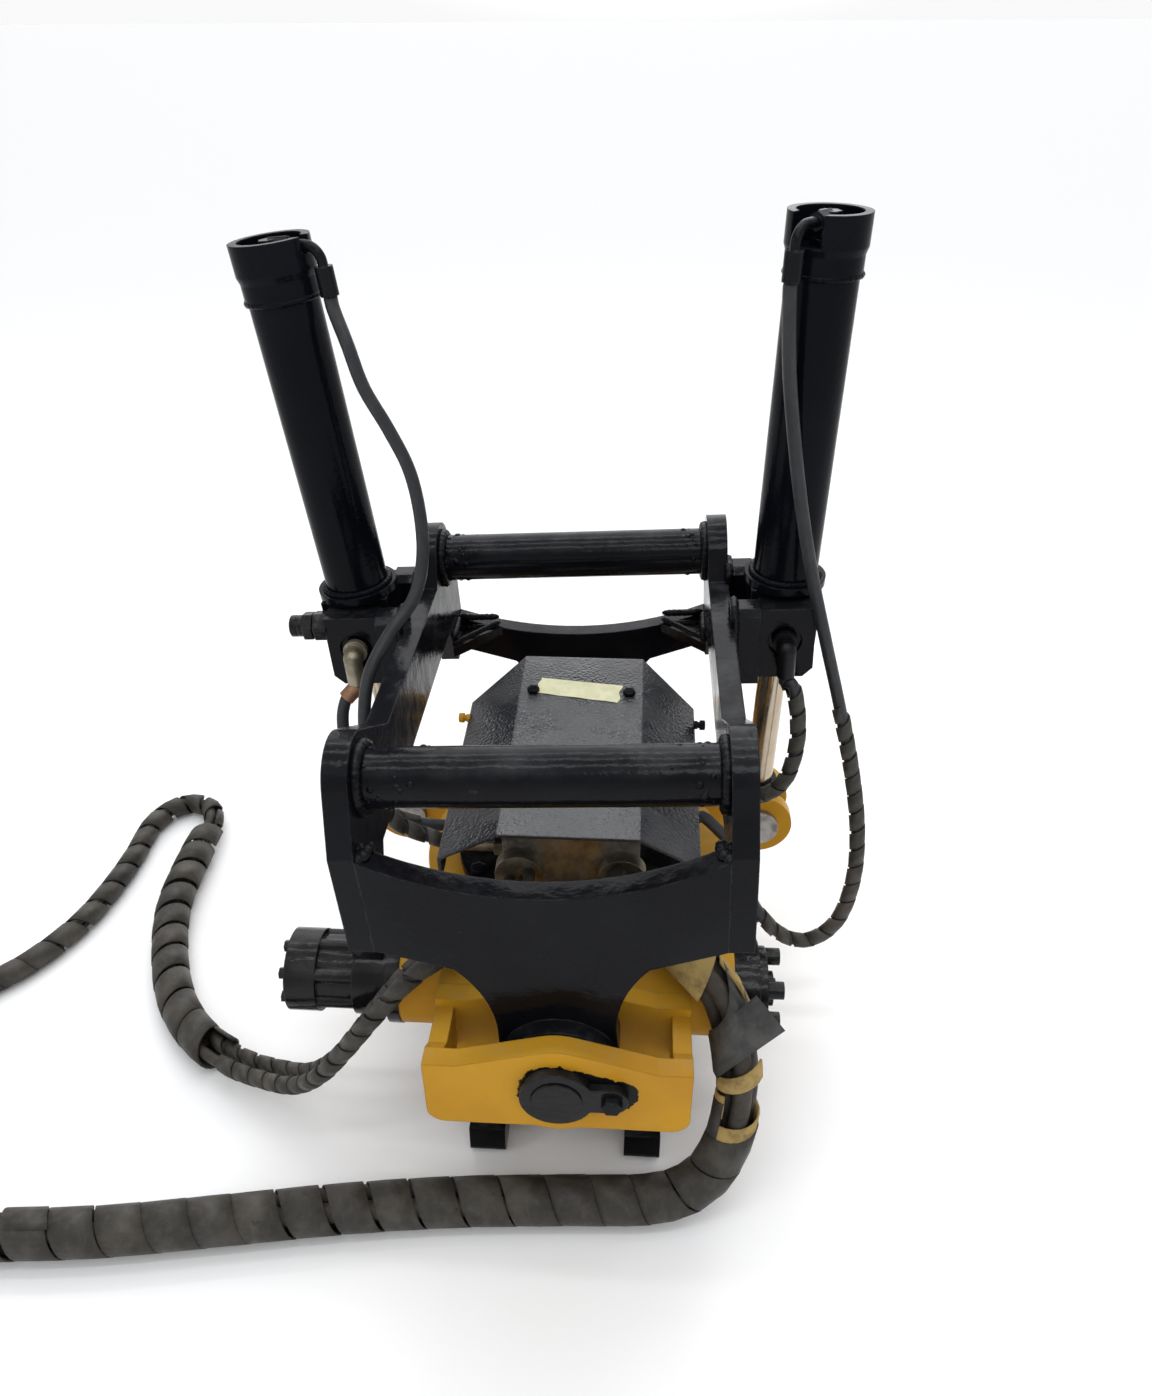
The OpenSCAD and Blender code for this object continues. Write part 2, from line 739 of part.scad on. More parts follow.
// Open box round the eye, with the pin's bore in its front plate and its inner wall
module bracket() {
  translate([0, 0, tilt_z]) {
    difference() {
      union() {
        plate_along_y(-face_y, -slot_y[1]) bracket_outline(bracket_hump_r);
        plate_along_y(-slot_y[0], -pad_y) bracket_outline(bracket_hump_r - inner_drop);
      }
      rod_along_y(tilt_pin_d / 2 + fit_gap, -face_y - 1, -pad_y + 1);
    }
    at_both_sides() plate_along_x(bracket_w / 2 - wall_t, bracket_w / 2) polygon([
      [-slot_y[1], -bracket_low + bracket_corner], [-slot_y[1], bracket_high],
      [-slot_y[1] + wall_ramp, wall_high], [-slot_y[0], wall_high],
      [-slot_y[0], -bracket_low + bracket_corner]
    ]);
  }
}

module front_bracket() color(yellow_paint) bracket();
module rear_bracket() color(yellow_paint) mirror([0, 1, 0]) bracket();

module tilt_pins() {
  color(bare_steel) translate([0, 0, tilt_z]) at_both_ends()
    rod_along_y(tilt_pin_d / 2, -face_y - lock_plate_t - pin_proud, -pad_y);
}

module pin_locks() {
  color(black_paint) translate([0, 0, tilt_z]) at_both_ends() difference() {
    plate_along_y(-face_y - lock_plate_t, -face_y) {
      circle(lock_plate_r);
      translate([lock_arm, 0]) circle(lock_arm_r);
      translate([0, -lock_arm_r]) square([lock_arm, 2 * lock_arm_r]);
    }
    rod_along_y(tilt_pin_d / 2 + fit_gap, -face_y - lock_plate_t - 1, -face_y + 1);
  }
}

// Ends of the rod pins: each pin's middle rides in its rod eye
module rod_pins() {
  color(bare_steel) for (s = [-1, 1]) translate(ear_at(s)) at_both_ends() {
    rod_along_y(rod_pin_r, -ear_gap - ear_t - rod_pin_head, -ear_gap);
    rod_along_y(rod_pin_head_r, -ear_gap - ear_t - rod_pin_head, -ear_gap - ear_t);
  }
}

module top_plate() {
  color(black_paint) difference() {
    translate([0, 0, drum_top]) cylinder(h = top_plate_t, r = top_plate_r);
    translate([0, 0, drum_top - 1]) cylinder(h = top_plate_t + 2, r = core_r + fit_gap);
  }
}

// Hexagon heads on the pin locks, the top plate and the cover
module housing_bolts() {
  color(black_paint) {
    translate([lock_arm, 0, tilt_z]) at_both_ends()
      translate([0, -face_y - lock_plate_t, 0]) rotate([90, 0, 0]) hex_head(11);
    for (a = [0 : 30 : 330]) if (abs(cos(a)) > 0.7)
      rotate([0, 0, a]) translate([top_plate_r - 14, 0, drum_top + top_plate_t]) hex_head(10);
    in_cover() for (x = [-post_x, post_x], y = post_y)
      translate([x, (y - cover_y) / cos(cover_slope), 0]) hex_head(cover_bolt_r);
  }
}

module slew_ring_outer() {
  mid = ring_z + ring_h / 2;
  color(bare_steel) rotate_extrude($fn = 128) polygon([
    [ring_gap_r + run_gap, ring_z], [ring_outer_r - fit_gap, ring_z],
    [ring_outer_r - fit_gap, ring_z + ring_h], [ring_gap_r + run_gap, ring_z + ring_h],
    [ring_gap_r + run_gap, mid + ring_lip + run_gap], [ring_gap_r + ring_lip + run_gap, mid],
    [ring_gap_r + run_gap, mid - ring_lip - run_gap]
  ]);
}

module worm_bearings() {
  color(bare_steel) at_worm() at_both_sides() difference() {
    rod_along_x(worm_bore_r - fit_gap, worm_bearing_x, worm_bearing_x + worm_bearing_l);
    rod_along_x(worm_journal_r + fit_gap, worm_bearing_x - 1, worm_bearing_x + worm_bearing_l + 1);
  }
}

// Single-start worm: a lobed section twisted along the axis
module worm_shaft() {
  root_r = worm_r - dedendum;
  tip_r = worm_r + addendum;
  tip_a = 180 * (thin_tooth - 0.13);
  root_a = 180 * (thin_tooth + 0.24);
  thread_l = worm_turns * tooth_pitch;
  section = concat(
    [for (i = [0 : 4]) let (a = -tip_a + tip_a * i / 2) tip_r * [cos(a), sin(a)]],
    [for (i = [0 : 14]) let (a = root_a + (360 - 2 * root_a) * i / 14) root_r * [cos(a), sin(a)]]
  );
  color(bare_steel) at_worm() {
    rotate([0, 90, 0]) translate([0, 0, -thread_l / 2]) rotate([0, 0, 90 + 180 * worm_turns])
      linear_extrude(thread_l, twist = 360 * worm_turns, slices = ceil(20 * worm_turns)) polygon(section);
    rod_along_x(worm_journal_r, thread_l / 2, worm_case_x - 6);
    rod_along_x(worm_journal_r, -worm_case_x - adapter_t + 1, -thread_l / 2);
  }
}

module end_cap() {
  color(black_paint) at_worm() {
    rod_along_x(worm_case_r, worm_case_x, worm_case_x + end_cap_l * 0.6);
    rod_along_x(worm_case_r - 8, worm_case_x + end_cap_l * 0.6, worm_case_x + end_cap_l * 0.8);
    rod_along_x(20, worm_case_x + end_cap_l * 0.8, worm_case_x + end_cap_l);
  }
}

module motor_adapter() {
  color(black_paint) at_worm() difference() {
    rod_along_x(worm_case_r + 1, -worm_case_x - adapter_t, -worm_case_x);
    rod_along_x(worm_journal_r + 4, -worm_case_x - adapter_t - 1, -worm_case_x + 1);
  }
}

// Gear motor: flanged housing, scalloped gear ring and end cover
module motor() {
  x = -worm_case_x - adapter_t;
  housing_l = motor_l * 0.34;
  ring_l = motor_l * 0.36;
  color(black_paint) at_worm() {
    rod_along_x(motor_r, x - housing_l, x);
    rod_along_x(motor_r - 7, x - housing_l - ring_l, x - housing_l);
    for (i = [0 : motor_bolt_n - 1]) rotate([360 * i / motor_bolt_n, 0, 0])
      translate([0, 0, motor_r - 10]) rod_along_x(8.5, x - housing_l - ring_l, x - housing_l);
    rod_along_x(motor_r - 1, x - motor_l, x - housing_l - ring_l);
    translate([x - housing_l, -22, motor_r - 12]) cube([housing_l - 6, 44, 20]);
  }
}

// Socket bolts of the end cap and hexagon bolts of the motor
module drive_bolts() {
  cap_x = worm_case_x + end_cap_l * 0.8;
  motor_x = -worm_case_x - adapter_t - motor_l;
  color(bare_steel) at_worm() {
    for (i = [0 : end_cap_bolt_n - 1]) rotate([45 + 360 * i / end_cap_bolt_n, 0, 0])
      translate([cap_x, 0, worm_case_r - 20]) rotate([0, 90, 0]) socket_bolt(6, 10, 18);
    for (i = [0 : motor_bolt_n - 1]) rotate([360 * i / motor_bolt_n, 0, 0])
      translate([motor_x, 0, motor_r - 12]) rotate([0, -90, 0]) cylinder(h = 7, r = 7, $fn = 6);
  }
}

// Valve manifold and its cover

module manifold() {
  w = manifold_w / 2;
  y0 = manifold_y[0];
  y1 = manifold_y[1];
  color(bare_steel) difference() {
    translate([-w, y0, manifold_z]) cube([manifold_w, y1 - y0, manifold_h]);
    translate([0, 0, manifold_z - 1]) cylinder(h = manifold_pocket + 1, r = core_r + fit_gap);
  }
}

module side_fitting(s, p) {
  translate([0, p[0], p[1]]) {
    rod_along_x(fitting_r, s < 0 ? -manifold_w / 2 - fitting_l : manifold_w / 2,
      s < 0 ? -manifold_w / 2 : manifold_w / 2 + fitting_l);
    translate([s * (manifold_w / 2 + 8), 0, 0]) rotate([0, 90, 0])
      cylinder(h = 16, r = fitting_r + 5, $fn = 6, center = true);
  }
}

module manifold_fittings() {
  color(zinc_plate) {
    for (p = left_ports) side_fitting(-1, p);
    for (p = right_ports) side_fitting(1, p);
    for (x = [-feed_x, feed_x]) translate([x, 0, feed_z])
      rod_along_y(right_bundle_d / 2, manifold_y[0] - feed_stub, manifold_y[0]);
  }
}

module cover() {
  t = cover_top_w / 2;
  w = cover_w / 2;
  k = cover_t;
  outer = [[w, -cover_fall - cover_lip], [w, -cover_fall], [t, 0]];
  inner = [[w - k, -cover_fall - cover_lip - 1], [w - k, -cover_fall - 0.6 * k], [t - 0.3 * k, -k]];
  color(cover_paint) in_cover() intersection() {
    plate_along_y(0, cover_l) difference() {
      polygon(concat(outer, mirrored(outer)));
      polygon(concat(inner, mirrored(inner)));
    }
    translate([0, 0, -cover_fall - cover_lip]) linear_extrude(cover_fall + cover_lip + 1)
      polygon([
        [-w, 0], [w, 0], [w, cover_l - cover_cut], [t, cover_l], [-t, cover_l], [-w, cover_l - cover_cut]
      ]);
  }
}

module cover_posts() {
  z = manifold_z + manifold_h;
  color(zinc_plate) difference() {
    for (x = [-post_x, post_x], y = post_y) translate([x, y, z]) cylinder(h = cover_z, r = post_r);
    in_cover() translate([-cover_w, -cover_l, -cover_t]) cube([2 * cover_w, 3 * cover_l, cover_z]);
  }
}

// Rotor and lower quick hitch

module rotor_core() {
  color(bare_steel) {
    translate([0, 0, flange_z]) cylinder(h = drum_z - 2 - flange_z, r = rotor_flange_r);
    translate([0, 0, flange_z]) cylinder(h = manifold_z + manifold_pocket - 1 - flange_z, r = core_r);
  }
}

module slew_ring_inner() {
  mid = ring_z + ring_h / 2;
  color(bare_steel) rotate_extrude($fn = 128) polygon([
    [ring_inner_r, drum_z - 2], [ring_gap_r, drum_z - 2], [ring_gap_r, mid - ring_lip],
    [ring_gap_r + ring_lip, mid], [ring_gap_r, mid + ring_lip], [ring_gap_r, wheel_z],
    [ring_inner_r, wheel_z]
  ]);
}

module worm_wheel() {
  pitch_a = 360 / wheel_teeth;
  root_r = wheel_r - dedendum;
  tip_r = wheel_r + addendum;
  tip_a = pitch_a / 2 * (thin_tooth - 0.13);
  root_a = pitch_a / 2 * (thin_tooth + 0.24);
  lead_a = atan(tooth_pitch / (2 * PI * worm_r));
  slant = wheel_w * tan(lead_a) / wheel_r * 180 / PI;
  outline = [for (i = [0 : wheel_teeth - 1]) let (a = 270 + (i + 0.5) * pitch_a) each [
    root_r * [cos(a - root_a), sin(a - root_a)], tip_r * [cos(a - tip_a), sin(a - tip_a)],
    tip_r * [cos(a + tip_a), sin(a + tip_a)], root_r * [cos(a + root_a), sin(a + root_a)]
  ]];
  color(bare_steel) difference() {
    translate([0, 0, wheel_z]) rotate([0, 0, slant / 2])
      linear_extrude(wheel_w, twist = slant, slices = 3) polygon(outline);
    translate([0, 0, wheel_z - 1]) cylinder(h = wheel_w + 2, r = wheel_inner_r);
  }
}

// Hook plate: a jaw that opens forwards, and one that opens down onto the lock pins
module hook_outline() {
  back = tool_y + jaw_r + hook_leg;
  difference() {
    union() {
      translate([-tool_y - hook_tip + 14, 14]) circle(14);
      polygon([
        [-tool_y - hook_tip + 14, 0], [tool_y - jaw_r, 0], [tool_y - jaw_r, lock_z],
        [back, lock_z - lock_d / 2], [back, hook_h - 30], [back - 30, hook_h],
        [-tool_y - hook_nose + 26, hook_h], [-tool_y - hook_nose, hook_h - 16],
        [-tool_y - hook_tip, 14]
      ]);
    }
    translate([-tool_y, tool_pin_z]) circle(jaw_r);
    translate([-tool_y - mouth_l, tool_pin_z - jaw_r]) square([mouth_l, 2 * jaw_r]);
    translate([tool_y, tool_pin_z]) circle(jaw_r);
    translate([tool_y - jaw_r, -1]) square([2 * jaw_r, tool_pin_z + 1]);
  }
}

module hook_plates() {
  color(black_paint) at_both_sides() plate_along_x(hook_x - hook_t / 2, hook_x + hook_t / 2) hook_outline();
}

module hook_beams() {
  w = 2 * hook_x - hook_t;
  color(black_paint) difference() {
    for (b = [beam_front, beam_rear])
      translate([-w / 2, b[0], beam_z]) cube([w, b[1] - b[0], hook_h - beam_z]);
    for (x = [-lock_x, lock_x]) translate([x, 0, lock_z])
      rod_along_y(lock_d / 2 + fit_gap, beam_rear[0] - 1, beam_rear[1] + 1);
  }
}

module lock_cylinder() {
  color(black_paint) translate([0, 0, lock_z]) difference() {
    rod_along_y(lock_barrel_r, lock_barrel[0], lock_barrel[1]);
    rod_along_y(lock_rod_r + fit_gap, lock_barrel[0] + 20, lock_barrel[1] + 1);
  }
}

// Two lock pins on one yoke, with the rod that drives them
module lock_pins() {
  color(bare_steel) translate([0, 0, lock_z]) {
    for (x = [-lock_x, lock_x]) translate([x, 0, 0])
      rod_along_y(lock_d / 2, lock_start, tool_y + jaw_r + hook_leg - 6);
    translate([-lock_x - lock_d / 2, lock_start - yoke_t, -lock_d / 2])
      cube([2 * lock_x + lock_d, yoke_t, lock_d]);
    rod_along_y(lock_rod_r, lock_barrel[1] - 40, lock_start - yoke_t);
  }
}

// Hoses

// Pairs of points that lead a hose square out of its fitting
function cap_lead(s) = [for (d = [hose_gap, hose_lead])
  elbow_foot(s) - d * [sin(lean(s)), 0, cos(lean(s))]];
function port_lead(s) = [for (d = [hose_gap, hose_lead])
  port_foot(s) + d * [sin(rest_tilt), 0, -cos(rest_tilt)]];
function side_lead(s, p) = [
  [s * (manifold_w / 2 + fitting_l + hose_lead), p[0], p[1]],
  [s * (manifold_w / 2 + fitting_l), p[0], p[1]]
];
module hose(start, route, end) color(hose_rubber) tube(concat(start, route, end), hose_d / 2, 8);

module left_cap_hose() hose(cap_lead(-1), left_cap_route, side_lead(-1, left_ports[0]));
module right_cap_hose() hose(cap_lead(1), right_cap_route, side_lead(1, right_ports[0]));
module left_port_hose() hose(port_lead(-1), left_port_route, side_lead(-1, left_ports[1]));
module right_port_hose() hose(port_lead(1), right_port_route, side_lead(1, right_ports[1]));

// Screw couplings on the ends of the feed hoses
module feed_couplings() {
  right_end = right_feed_route[len(right_feed_route) - 1];
  tail_end = tail_route[len(tail_route) - 1];
  color(zinc_plate) {
    for (a = [90, 210, 330]) translate(right_end + 0.53 * right_bundle_d / 2 * [0, cos(a), sin(a)])
      rod_along_x(coupling_r, -coupling_l, 0);
    for (y = [-1, 1]) translate(tail_end + y * tail_d / 4 * [0, 1, 0])
      rod_along_x(tail_coupling_r, -coupling_l, 0);
  }
}

module left_feed() color(hose_rubber) tube(left_feed_route, left_bundle_d / 2);
module left_tail() color(hose_rubber) tube(tail_route, tail_d / 2);
module right_feed() color(hose_rubber) tube(right_feed_route, right_bundle_d / 2);

side_plates();
cross_pins();
front_end_plate();
rear_end_plate();
corner_gussets();
eye_bushes();
trunnion_ears();
trunnion_blocks();
cartridge_valve();
port_fittings();
left_head();
left_barrel();
left_collar();
left_gland();
left_elbow();
right_head();
right_barrel();
right_collar();
right_gland();
right_elbow();
left_rod();
left_piston();
left_rod_eye();
right_rod();
right_piston();
right_rod_eye();
rotor_housing();
front_bracket();
rear_bracket();
tilt_pins();
pin_locks();
rod_pins();
top_plate();
housing_bolts();
slew_ring_outer();
worm_bearings();
worm_shaft();
end_cap();
motor_adapter();
motor();
drive_bolts();
feed_couplings();
manifold();
manifold_fittings();
cover();
cover_posts();
rotor_core();
slew_ring_inner();
worm_wheel();
hook_plates();
hook_beams();
lock_cylinder();
lock_pins();
left_cap_hose();
right_cap_hose();
left_port_hose();
right_port_hose();
left_feed();
left_tail();
right_feed();
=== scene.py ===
import math
import random
from collections import namedtuple

import bpy
from mathutils import Matrix, Vector


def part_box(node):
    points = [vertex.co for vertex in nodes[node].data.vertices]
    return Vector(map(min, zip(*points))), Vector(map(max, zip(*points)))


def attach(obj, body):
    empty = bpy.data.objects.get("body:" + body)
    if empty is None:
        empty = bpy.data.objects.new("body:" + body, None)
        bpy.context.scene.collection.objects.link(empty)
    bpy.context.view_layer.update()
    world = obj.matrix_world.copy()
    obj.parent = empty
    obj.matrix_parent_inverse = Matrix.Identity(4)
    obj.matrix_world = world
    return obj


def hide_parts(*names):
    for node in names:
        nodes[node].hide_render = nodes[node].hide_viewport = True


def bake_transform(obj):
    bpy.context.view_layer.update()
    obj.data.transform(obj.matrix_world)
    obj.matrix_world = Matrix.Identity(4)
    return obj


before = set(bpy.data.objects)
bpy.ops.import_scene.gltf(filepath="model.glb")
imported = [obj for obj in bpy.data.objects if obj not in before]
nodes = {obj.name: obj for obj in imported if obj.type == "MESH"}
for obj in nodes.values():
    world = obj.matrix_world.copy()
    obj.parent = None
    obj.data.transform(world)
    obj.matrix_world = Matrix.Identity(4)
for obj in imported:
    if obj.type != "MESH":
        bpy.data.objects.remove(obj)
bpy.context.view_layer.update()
random.seed(7)

# Sizes shared with the CAD source, in millimetres. Points on the hitch are given in its own
# frame: x across, y to the rear, z up from the tilt axis.
MM_PER_M = 1000
TILT_Z = 233
REST_TILT = math.radians(3)
TRUNNION = (262, 140, 285)
ROD_EAR = (244, 140, -10)
BARREL_TOP = 430
ELBOW_REACH, ELBOW_DROP = 58, 26
PORT_REACH, PORT_DROP = 88, 34
VALVE = (297, 90, 311)
CROSS_PINS_Y, CROSS_PIN_Z = (-240, 240), 327
LEFT, RIGHT = -1, 1
SIDES = (LEFT, RIGHT)


def mm(points):
    return [Vector(p) / MM_PER_M for p in points]


def on_hitch(x, y, z):
    """World place, in metres, of a point on the tilted hitch."""
    c, s = math.cos(REST_TILT), math.sin(REST_TILT)
    return Vector((x * c - z * s, y, TILT_Z + x * s + z * c)) / MM_PER_M


def cylinder_frame(side):
    """World place of a trunnion, and the direction up its cylinder."""
    top = on_hitch(side * TRUNNION[0], TRUNNION[1], TRUNNION[2])
    foot = Vector((side * ROD_EAR[0], ROD_EAR[1], TILT_Z + ROD_EAR[2])) / MM_PER_M
    return top, (top - foot).normalized()


def on_cylinder(side, x, y, z):
    """World place of a point on a cylinder, from its trunnion, with z up the cylinder."""
    top, up = cylinder_frame(side)
    across = Vector((up.z, 0, -up.x))
    return top + across * x / MM_PER_M + Vector((0, y / MM_PER_M, 0)) + up * z / MM_PER_M


def elbow_foot(side):
    """Where a cap elbow ends and its hose begins."""
    turn = math.radians(15 if side == LEFT else 50)
    return on_cylinder(side, -side * ELBOW_REACH * math.cos(turn),
                       -ELBOW_REACH * math.sin(turn), BARREL_TOP - ELBOW_DROP)


def port_foot(side):
    """Where a port fitting ends and its hose begins."""
    return on_hitch(side * TRUNNION[0], TRUNNION[1] - PORT_REACH, TRUNNION[2] - PORT_DROP)


HITCH_ACROSS = on_hitch(MM_PER_M, 0, 0) - on_hitch(0, 0, 0)
HITCH_DOWN = on_hitch(0, 0, 0) - on_hitch(0, 0, MM_PER_M)

# Camera fitted to the photo: place, axes, and focal length and middle in pixels of the
# 1152 x 1396 frame

PHOTO_HEIGHT = 1396
SENSOR_MM = 36
EYE = Vector((0.0644, -1.0251, 1.1705))
EYE_RIGHT = Vector((0.9982, 0.0595, -0.0047))
EYE_DOWN = Vector((0.0290, -0.5515, -0.8337))
EYE_FORWARD = Vector((-0.0522, 0.8321, -0.5522))
FOCAL, MIDDLE = 1050, (576, 698)


def make_camera():
    camera = bpy.data.objects.new("camera", bpy.data.cameras.new("camera"))
    turn = Matrix((EYE_RIGHT, -EYE_DOWN, -EYE_FORWARD)).transposed().to_4x4()
    camera.matrix_world = Matrix.Translation(EYE) @ turn
    camera.data.sensor_width = SENSOR_MM
    camera.data.lens = SENSOR_MM * FOCAL / PHOTO_HEIGHT
    camera.data.clip_start = 0.01
    bpy.context.scene.collection.objects.link(camera)
    bpy.context.scene.camera = camera


def ray_through(px, py):
    """Direction from the camera through a pixel of the frame."""
    return EYE_FORWARD * FOCAL + EYE_RIGHT * (px - MIDDLE[0]) + EYE_DOWN * (py - MIDDLE[1])


def pixel_of(place):
    """Pixel of the frame at which the camera sees a place."""
    away = place - EYE
    scale = FOCAL / away.dot(EYE_FORWARD)
    return MIDDLE[0] + scale * away.dot(EYE_RIGHT), MIDDLE[1] + scale * away.dot(EYE_DOWN)


def seen_at(node, px, py):
    """Place and normal on a node where the camera sees it at a pixel of the frame."""
    piece = nodes[node]
    back = piece.matrix_world.inverted()
    ray = back.to_3x3() @ ray_through(px, py)
    hit, place, normal, _ = piece.ray_cast(back @ EYE, ray.normalized())
    if not hit:
        raise RuntimeError(f"{node} isn't seen at {px}, {py}")
    return piece.matrix_world @ place, (piece.matrix_world.to_3x3() @ normal).normalized()


make_camera()

# Materials


class Shade:
    """Builds one procedural material from noise in object coordinates."""

    def __init__(self, name):
        self.mat = bpy.data.materials.new(name)
        self.mat.use_nodes = True
        self.tree = self.mat.node_tree
        self.bsdf = self.tree.nodes["Principled BSDF"]
        self.coord = self.tree.nodes.new("ShaderNodeTexCoord").outputs["Object"]

    def put(self, value, socket):
        """Set a socket to a number or a colour, or link another socket to it."""
        if isinstance(value, (int, float)):
            socket.default_value = value
        elif isinstance(value, tuple):
            socket.default_value = (*value, 1)
        else:
            self.tree.links.new(value, socket)

    def node(self, kind, inputs, **settings):
        made = self.tree.nodes.new(kind)
        for key, value in settings.items():
            setattr(made, key, value)
        for key, value in inputs.items():
            self.put(value, made.inputs[key])
        return made

    def stretched(self, scale):
        mapping = self.node("ShaderNodeMapping", {"Vector": self.coord})
        mapping.inputs["Scale"].default_value = scale
        return mapping.outputs["Vector"]

    def noise(self, scale, detail=3.0, rough=0.55, stretch=None, distortion=0.0):
        return self.node("ShaderNodeTexNoise", {
            "Vector": self.stretched(stretch) if stretch else self.coord, "Scale": scale,
            "Detail": detail, "Roughness": rough, "Distortion": distortion}).outputs["Fac"]

    def band(self, value, span, out=(0.0, 1.0)):
        """Smooth step from out[0] to out[1] while the value crosses the span."""
        return self.node("ShaderNodeMapRange", {
            "Value": value, "From Min": span[0], "From Max": span[1],
            "To Min": out[0], "To Max": out[1]},
            interpolation_type="SMOOTHSTEP").outputs["Result"]

    def patches(self, span, out=(0.0, 1.0), **noise):
        """Soft-edged patches: the smooth step of a noise."""
        return self.band(self.noise(**noise), span, out)

    def calc(self, operation, *values):
        return self.node("ShaderNodeMath", dict(enumerate(values)),
                         operation=operation).outputs["Value"]

    def times(self, a, b):
        return self.calc("MULTIPLY", a, b)

    def mix(self, share, a, b):
        return self.node("ShaderNodeMix", {0: share, 6: a, 7: b}, data_type="RGBA").outputs[2]

    def axes(self, vector):
        return self.node("ShaderNodeSeparateXYZ", {0: vector}).outputs

    def normal(self):
        return self.node("ShaderNodeNewGeometry", {}).outputs["Normal"]

    def facing_up(self, span=(0.35, 0.95)):
        return self.band(self.axes(self.normal())["Z"], span)

    def edges(self, radius):
        """Mask that is 1 along edges and 0 on flats, and the rounded normal."""
        rounded = self.node("ShaderNodeBevel", {"Radius": radius}, samples=4).outputs["Normal"]
        dot = self.node("ShaderNodeVectorMath", {0: rounded, 1: self.normal()},
                        operation="DOT_PRODUCT")
        return self.band(dot.outputs["Value"], (0.98, 0.82)), rounded

    def bumps(self, layers, normal=None):
        """Layers of height, strength and distance, one on the other."""
        for height, strength, distance in layers:
            inputs = {"Height": height, "Strength": strength, "Distance": distance}
            if normal is not None:
                inputs["Normal"] = normal
            normal = self.node("ShaderNodeBump", inputs).outputs["Normal"]
        for key in ("Normal", "Coat Normal"):
            self.put(normal, self.bsdf.inputs[key])

    def finish(self, color, rough, metallic=0.0, coat=0.0, coat_rough=0.1, specular=0.5):
        for key, value in (("Base Color", color), ("Roughness", rough), ("Metallic", metallic),
                           ("Coat Weight", coat), ("Coat Roughness", coat_rough),
                           ("Specular IOR Level", specular)):
            self.put(value, self.bsdf.inputs[key])
        return self.mat


SMEAR = (0.0035, 0.0035, 0.0042)
GRIME = (0.05, 0.035, 0.02)
OVERPAINT = (0.012, 0.012, 0.014)


def scaled(factor, color):
    return tuple(factor * v for v in color)


def brushed_paint(name, base, tint, edge, dust, dust_share, rough, wave, specular, chip=None,
                  smear=None, coat=0.0):
    """Thick brush-applied paint: waves and peel, edges in the edge colour (worn on yellow, a
    painted highlight on the black paints), dust where it can lie.
    """
    s = Shade(name)
    edge_mask, rounded = s.edges(0.0025)
    color = s.mix(s.patches((0.35, 0.7), scale=7, detail=4), base, tint)
    worn_and_highlit_edges = s.times(edge_mask, s.patches((0.42, 0.62), scale=70, detail=4, rough=0.65))
    # Edges in the edge colour: worn paint on yellow, a lighter painted highlight on the black
    # paints
    color = s.mix(worn_and_highlit_edges, color, edge)
    if chip:
        color = s.mix(s.patches((0.70, 0.735), scale=38, detail=5, rough=0.7), color, chip)
    lying = s.times(s.facing_up(),
                    s.patches((0.40, 0.75), (0.1, 1.0), scale=22, detail=5, rough=0.65))
    color = s.mix(s.times(lying, dust_share), color, dust)
    if smear:
        color = s.mix(smear(s), color, SMEAR)
    gloss = s.patches((0.3, 0.75), rough, scale=16, detail=4, rough=0.6)
    s.bumps([(s.noise(26, 2, 0.5), wave, 0.006), (s.noise(210, 3, 0.6), 0.22, 0.0012)], rounded)
    return s.finish(color, gloss, coat=coat, coat_rough=0.05, specular=specular)


def lock_smear(s):
    """Mask of the black paint that ran past the pin's lock plate onto the front bracket."""
    length, radius, narrowing = 0.062, 0.0395, 0.30
    at = s.axes(s.coord)
    x, z = at["X"], s.calc("SUBTRACT", at["Z"], TILT_Z / MM_PER_M)
    along = s.calc("MINIMUM", s.calc("MAXIMUM", x, 0.0), length)
    away = s.calc("SUBTRACT", x, along)
    reach = s.calc("SQRT", s.calc("ADD", s.times(away, away), s.times(z, z)))
    taper = s.calc("SUBTRACT", radius, s.times(along, narrowing))
    ragged = s.times(s.calc("SUBTRACT", s.noise(85, 4, 0.7), 0.5), 0.016)
    near = s.band(s.calc("ADD", s.calc("SUBTRACT", reach, taper), ragged), (0.0022, 0.0012))
    front_face = s.band(at["Y"], (-0.343, -0.346))
    return s.times(near, front_face)


def right_half(s):
    """Mask of everything to the right of the middle."""
    return s.band(s.axes(s.coord)["X"], (-0.01, 0.01))


def worn_metal(name, base, dark, rough, grime, bright=(0.75, 0.72, 0.66), metallic=0.9,
               painted=None):
    """Bare or plated metal: blotches, grime in patches, bright edges."""
    s = Shade(name)
    edge_mask, rounded = s.edges(0.001)
    color = s.mix(s.patches((0.35, 0.7), scale=45, detail=5, rough=0.65), base, dark)
    dirty = s.patches((0.5, 0.72), scale=20, detail=5, rough=0.7)
    color = s.mix(s.times(dirty, grime), color, GRIME)
    color = s.mix(s.times(edge_mask, 0.35), color, bright)
    if painted:
        color = s.mix(painted(s), color, OVERPAINT)
    gloss = s.patches((0.3, 0.7), rough, scale=60, detail=4)
    s.bumps([(s.noise(240, 4), 0.15, 0.0006)], rounded)
    return s.finish(color, gloss, metallic=metallic)


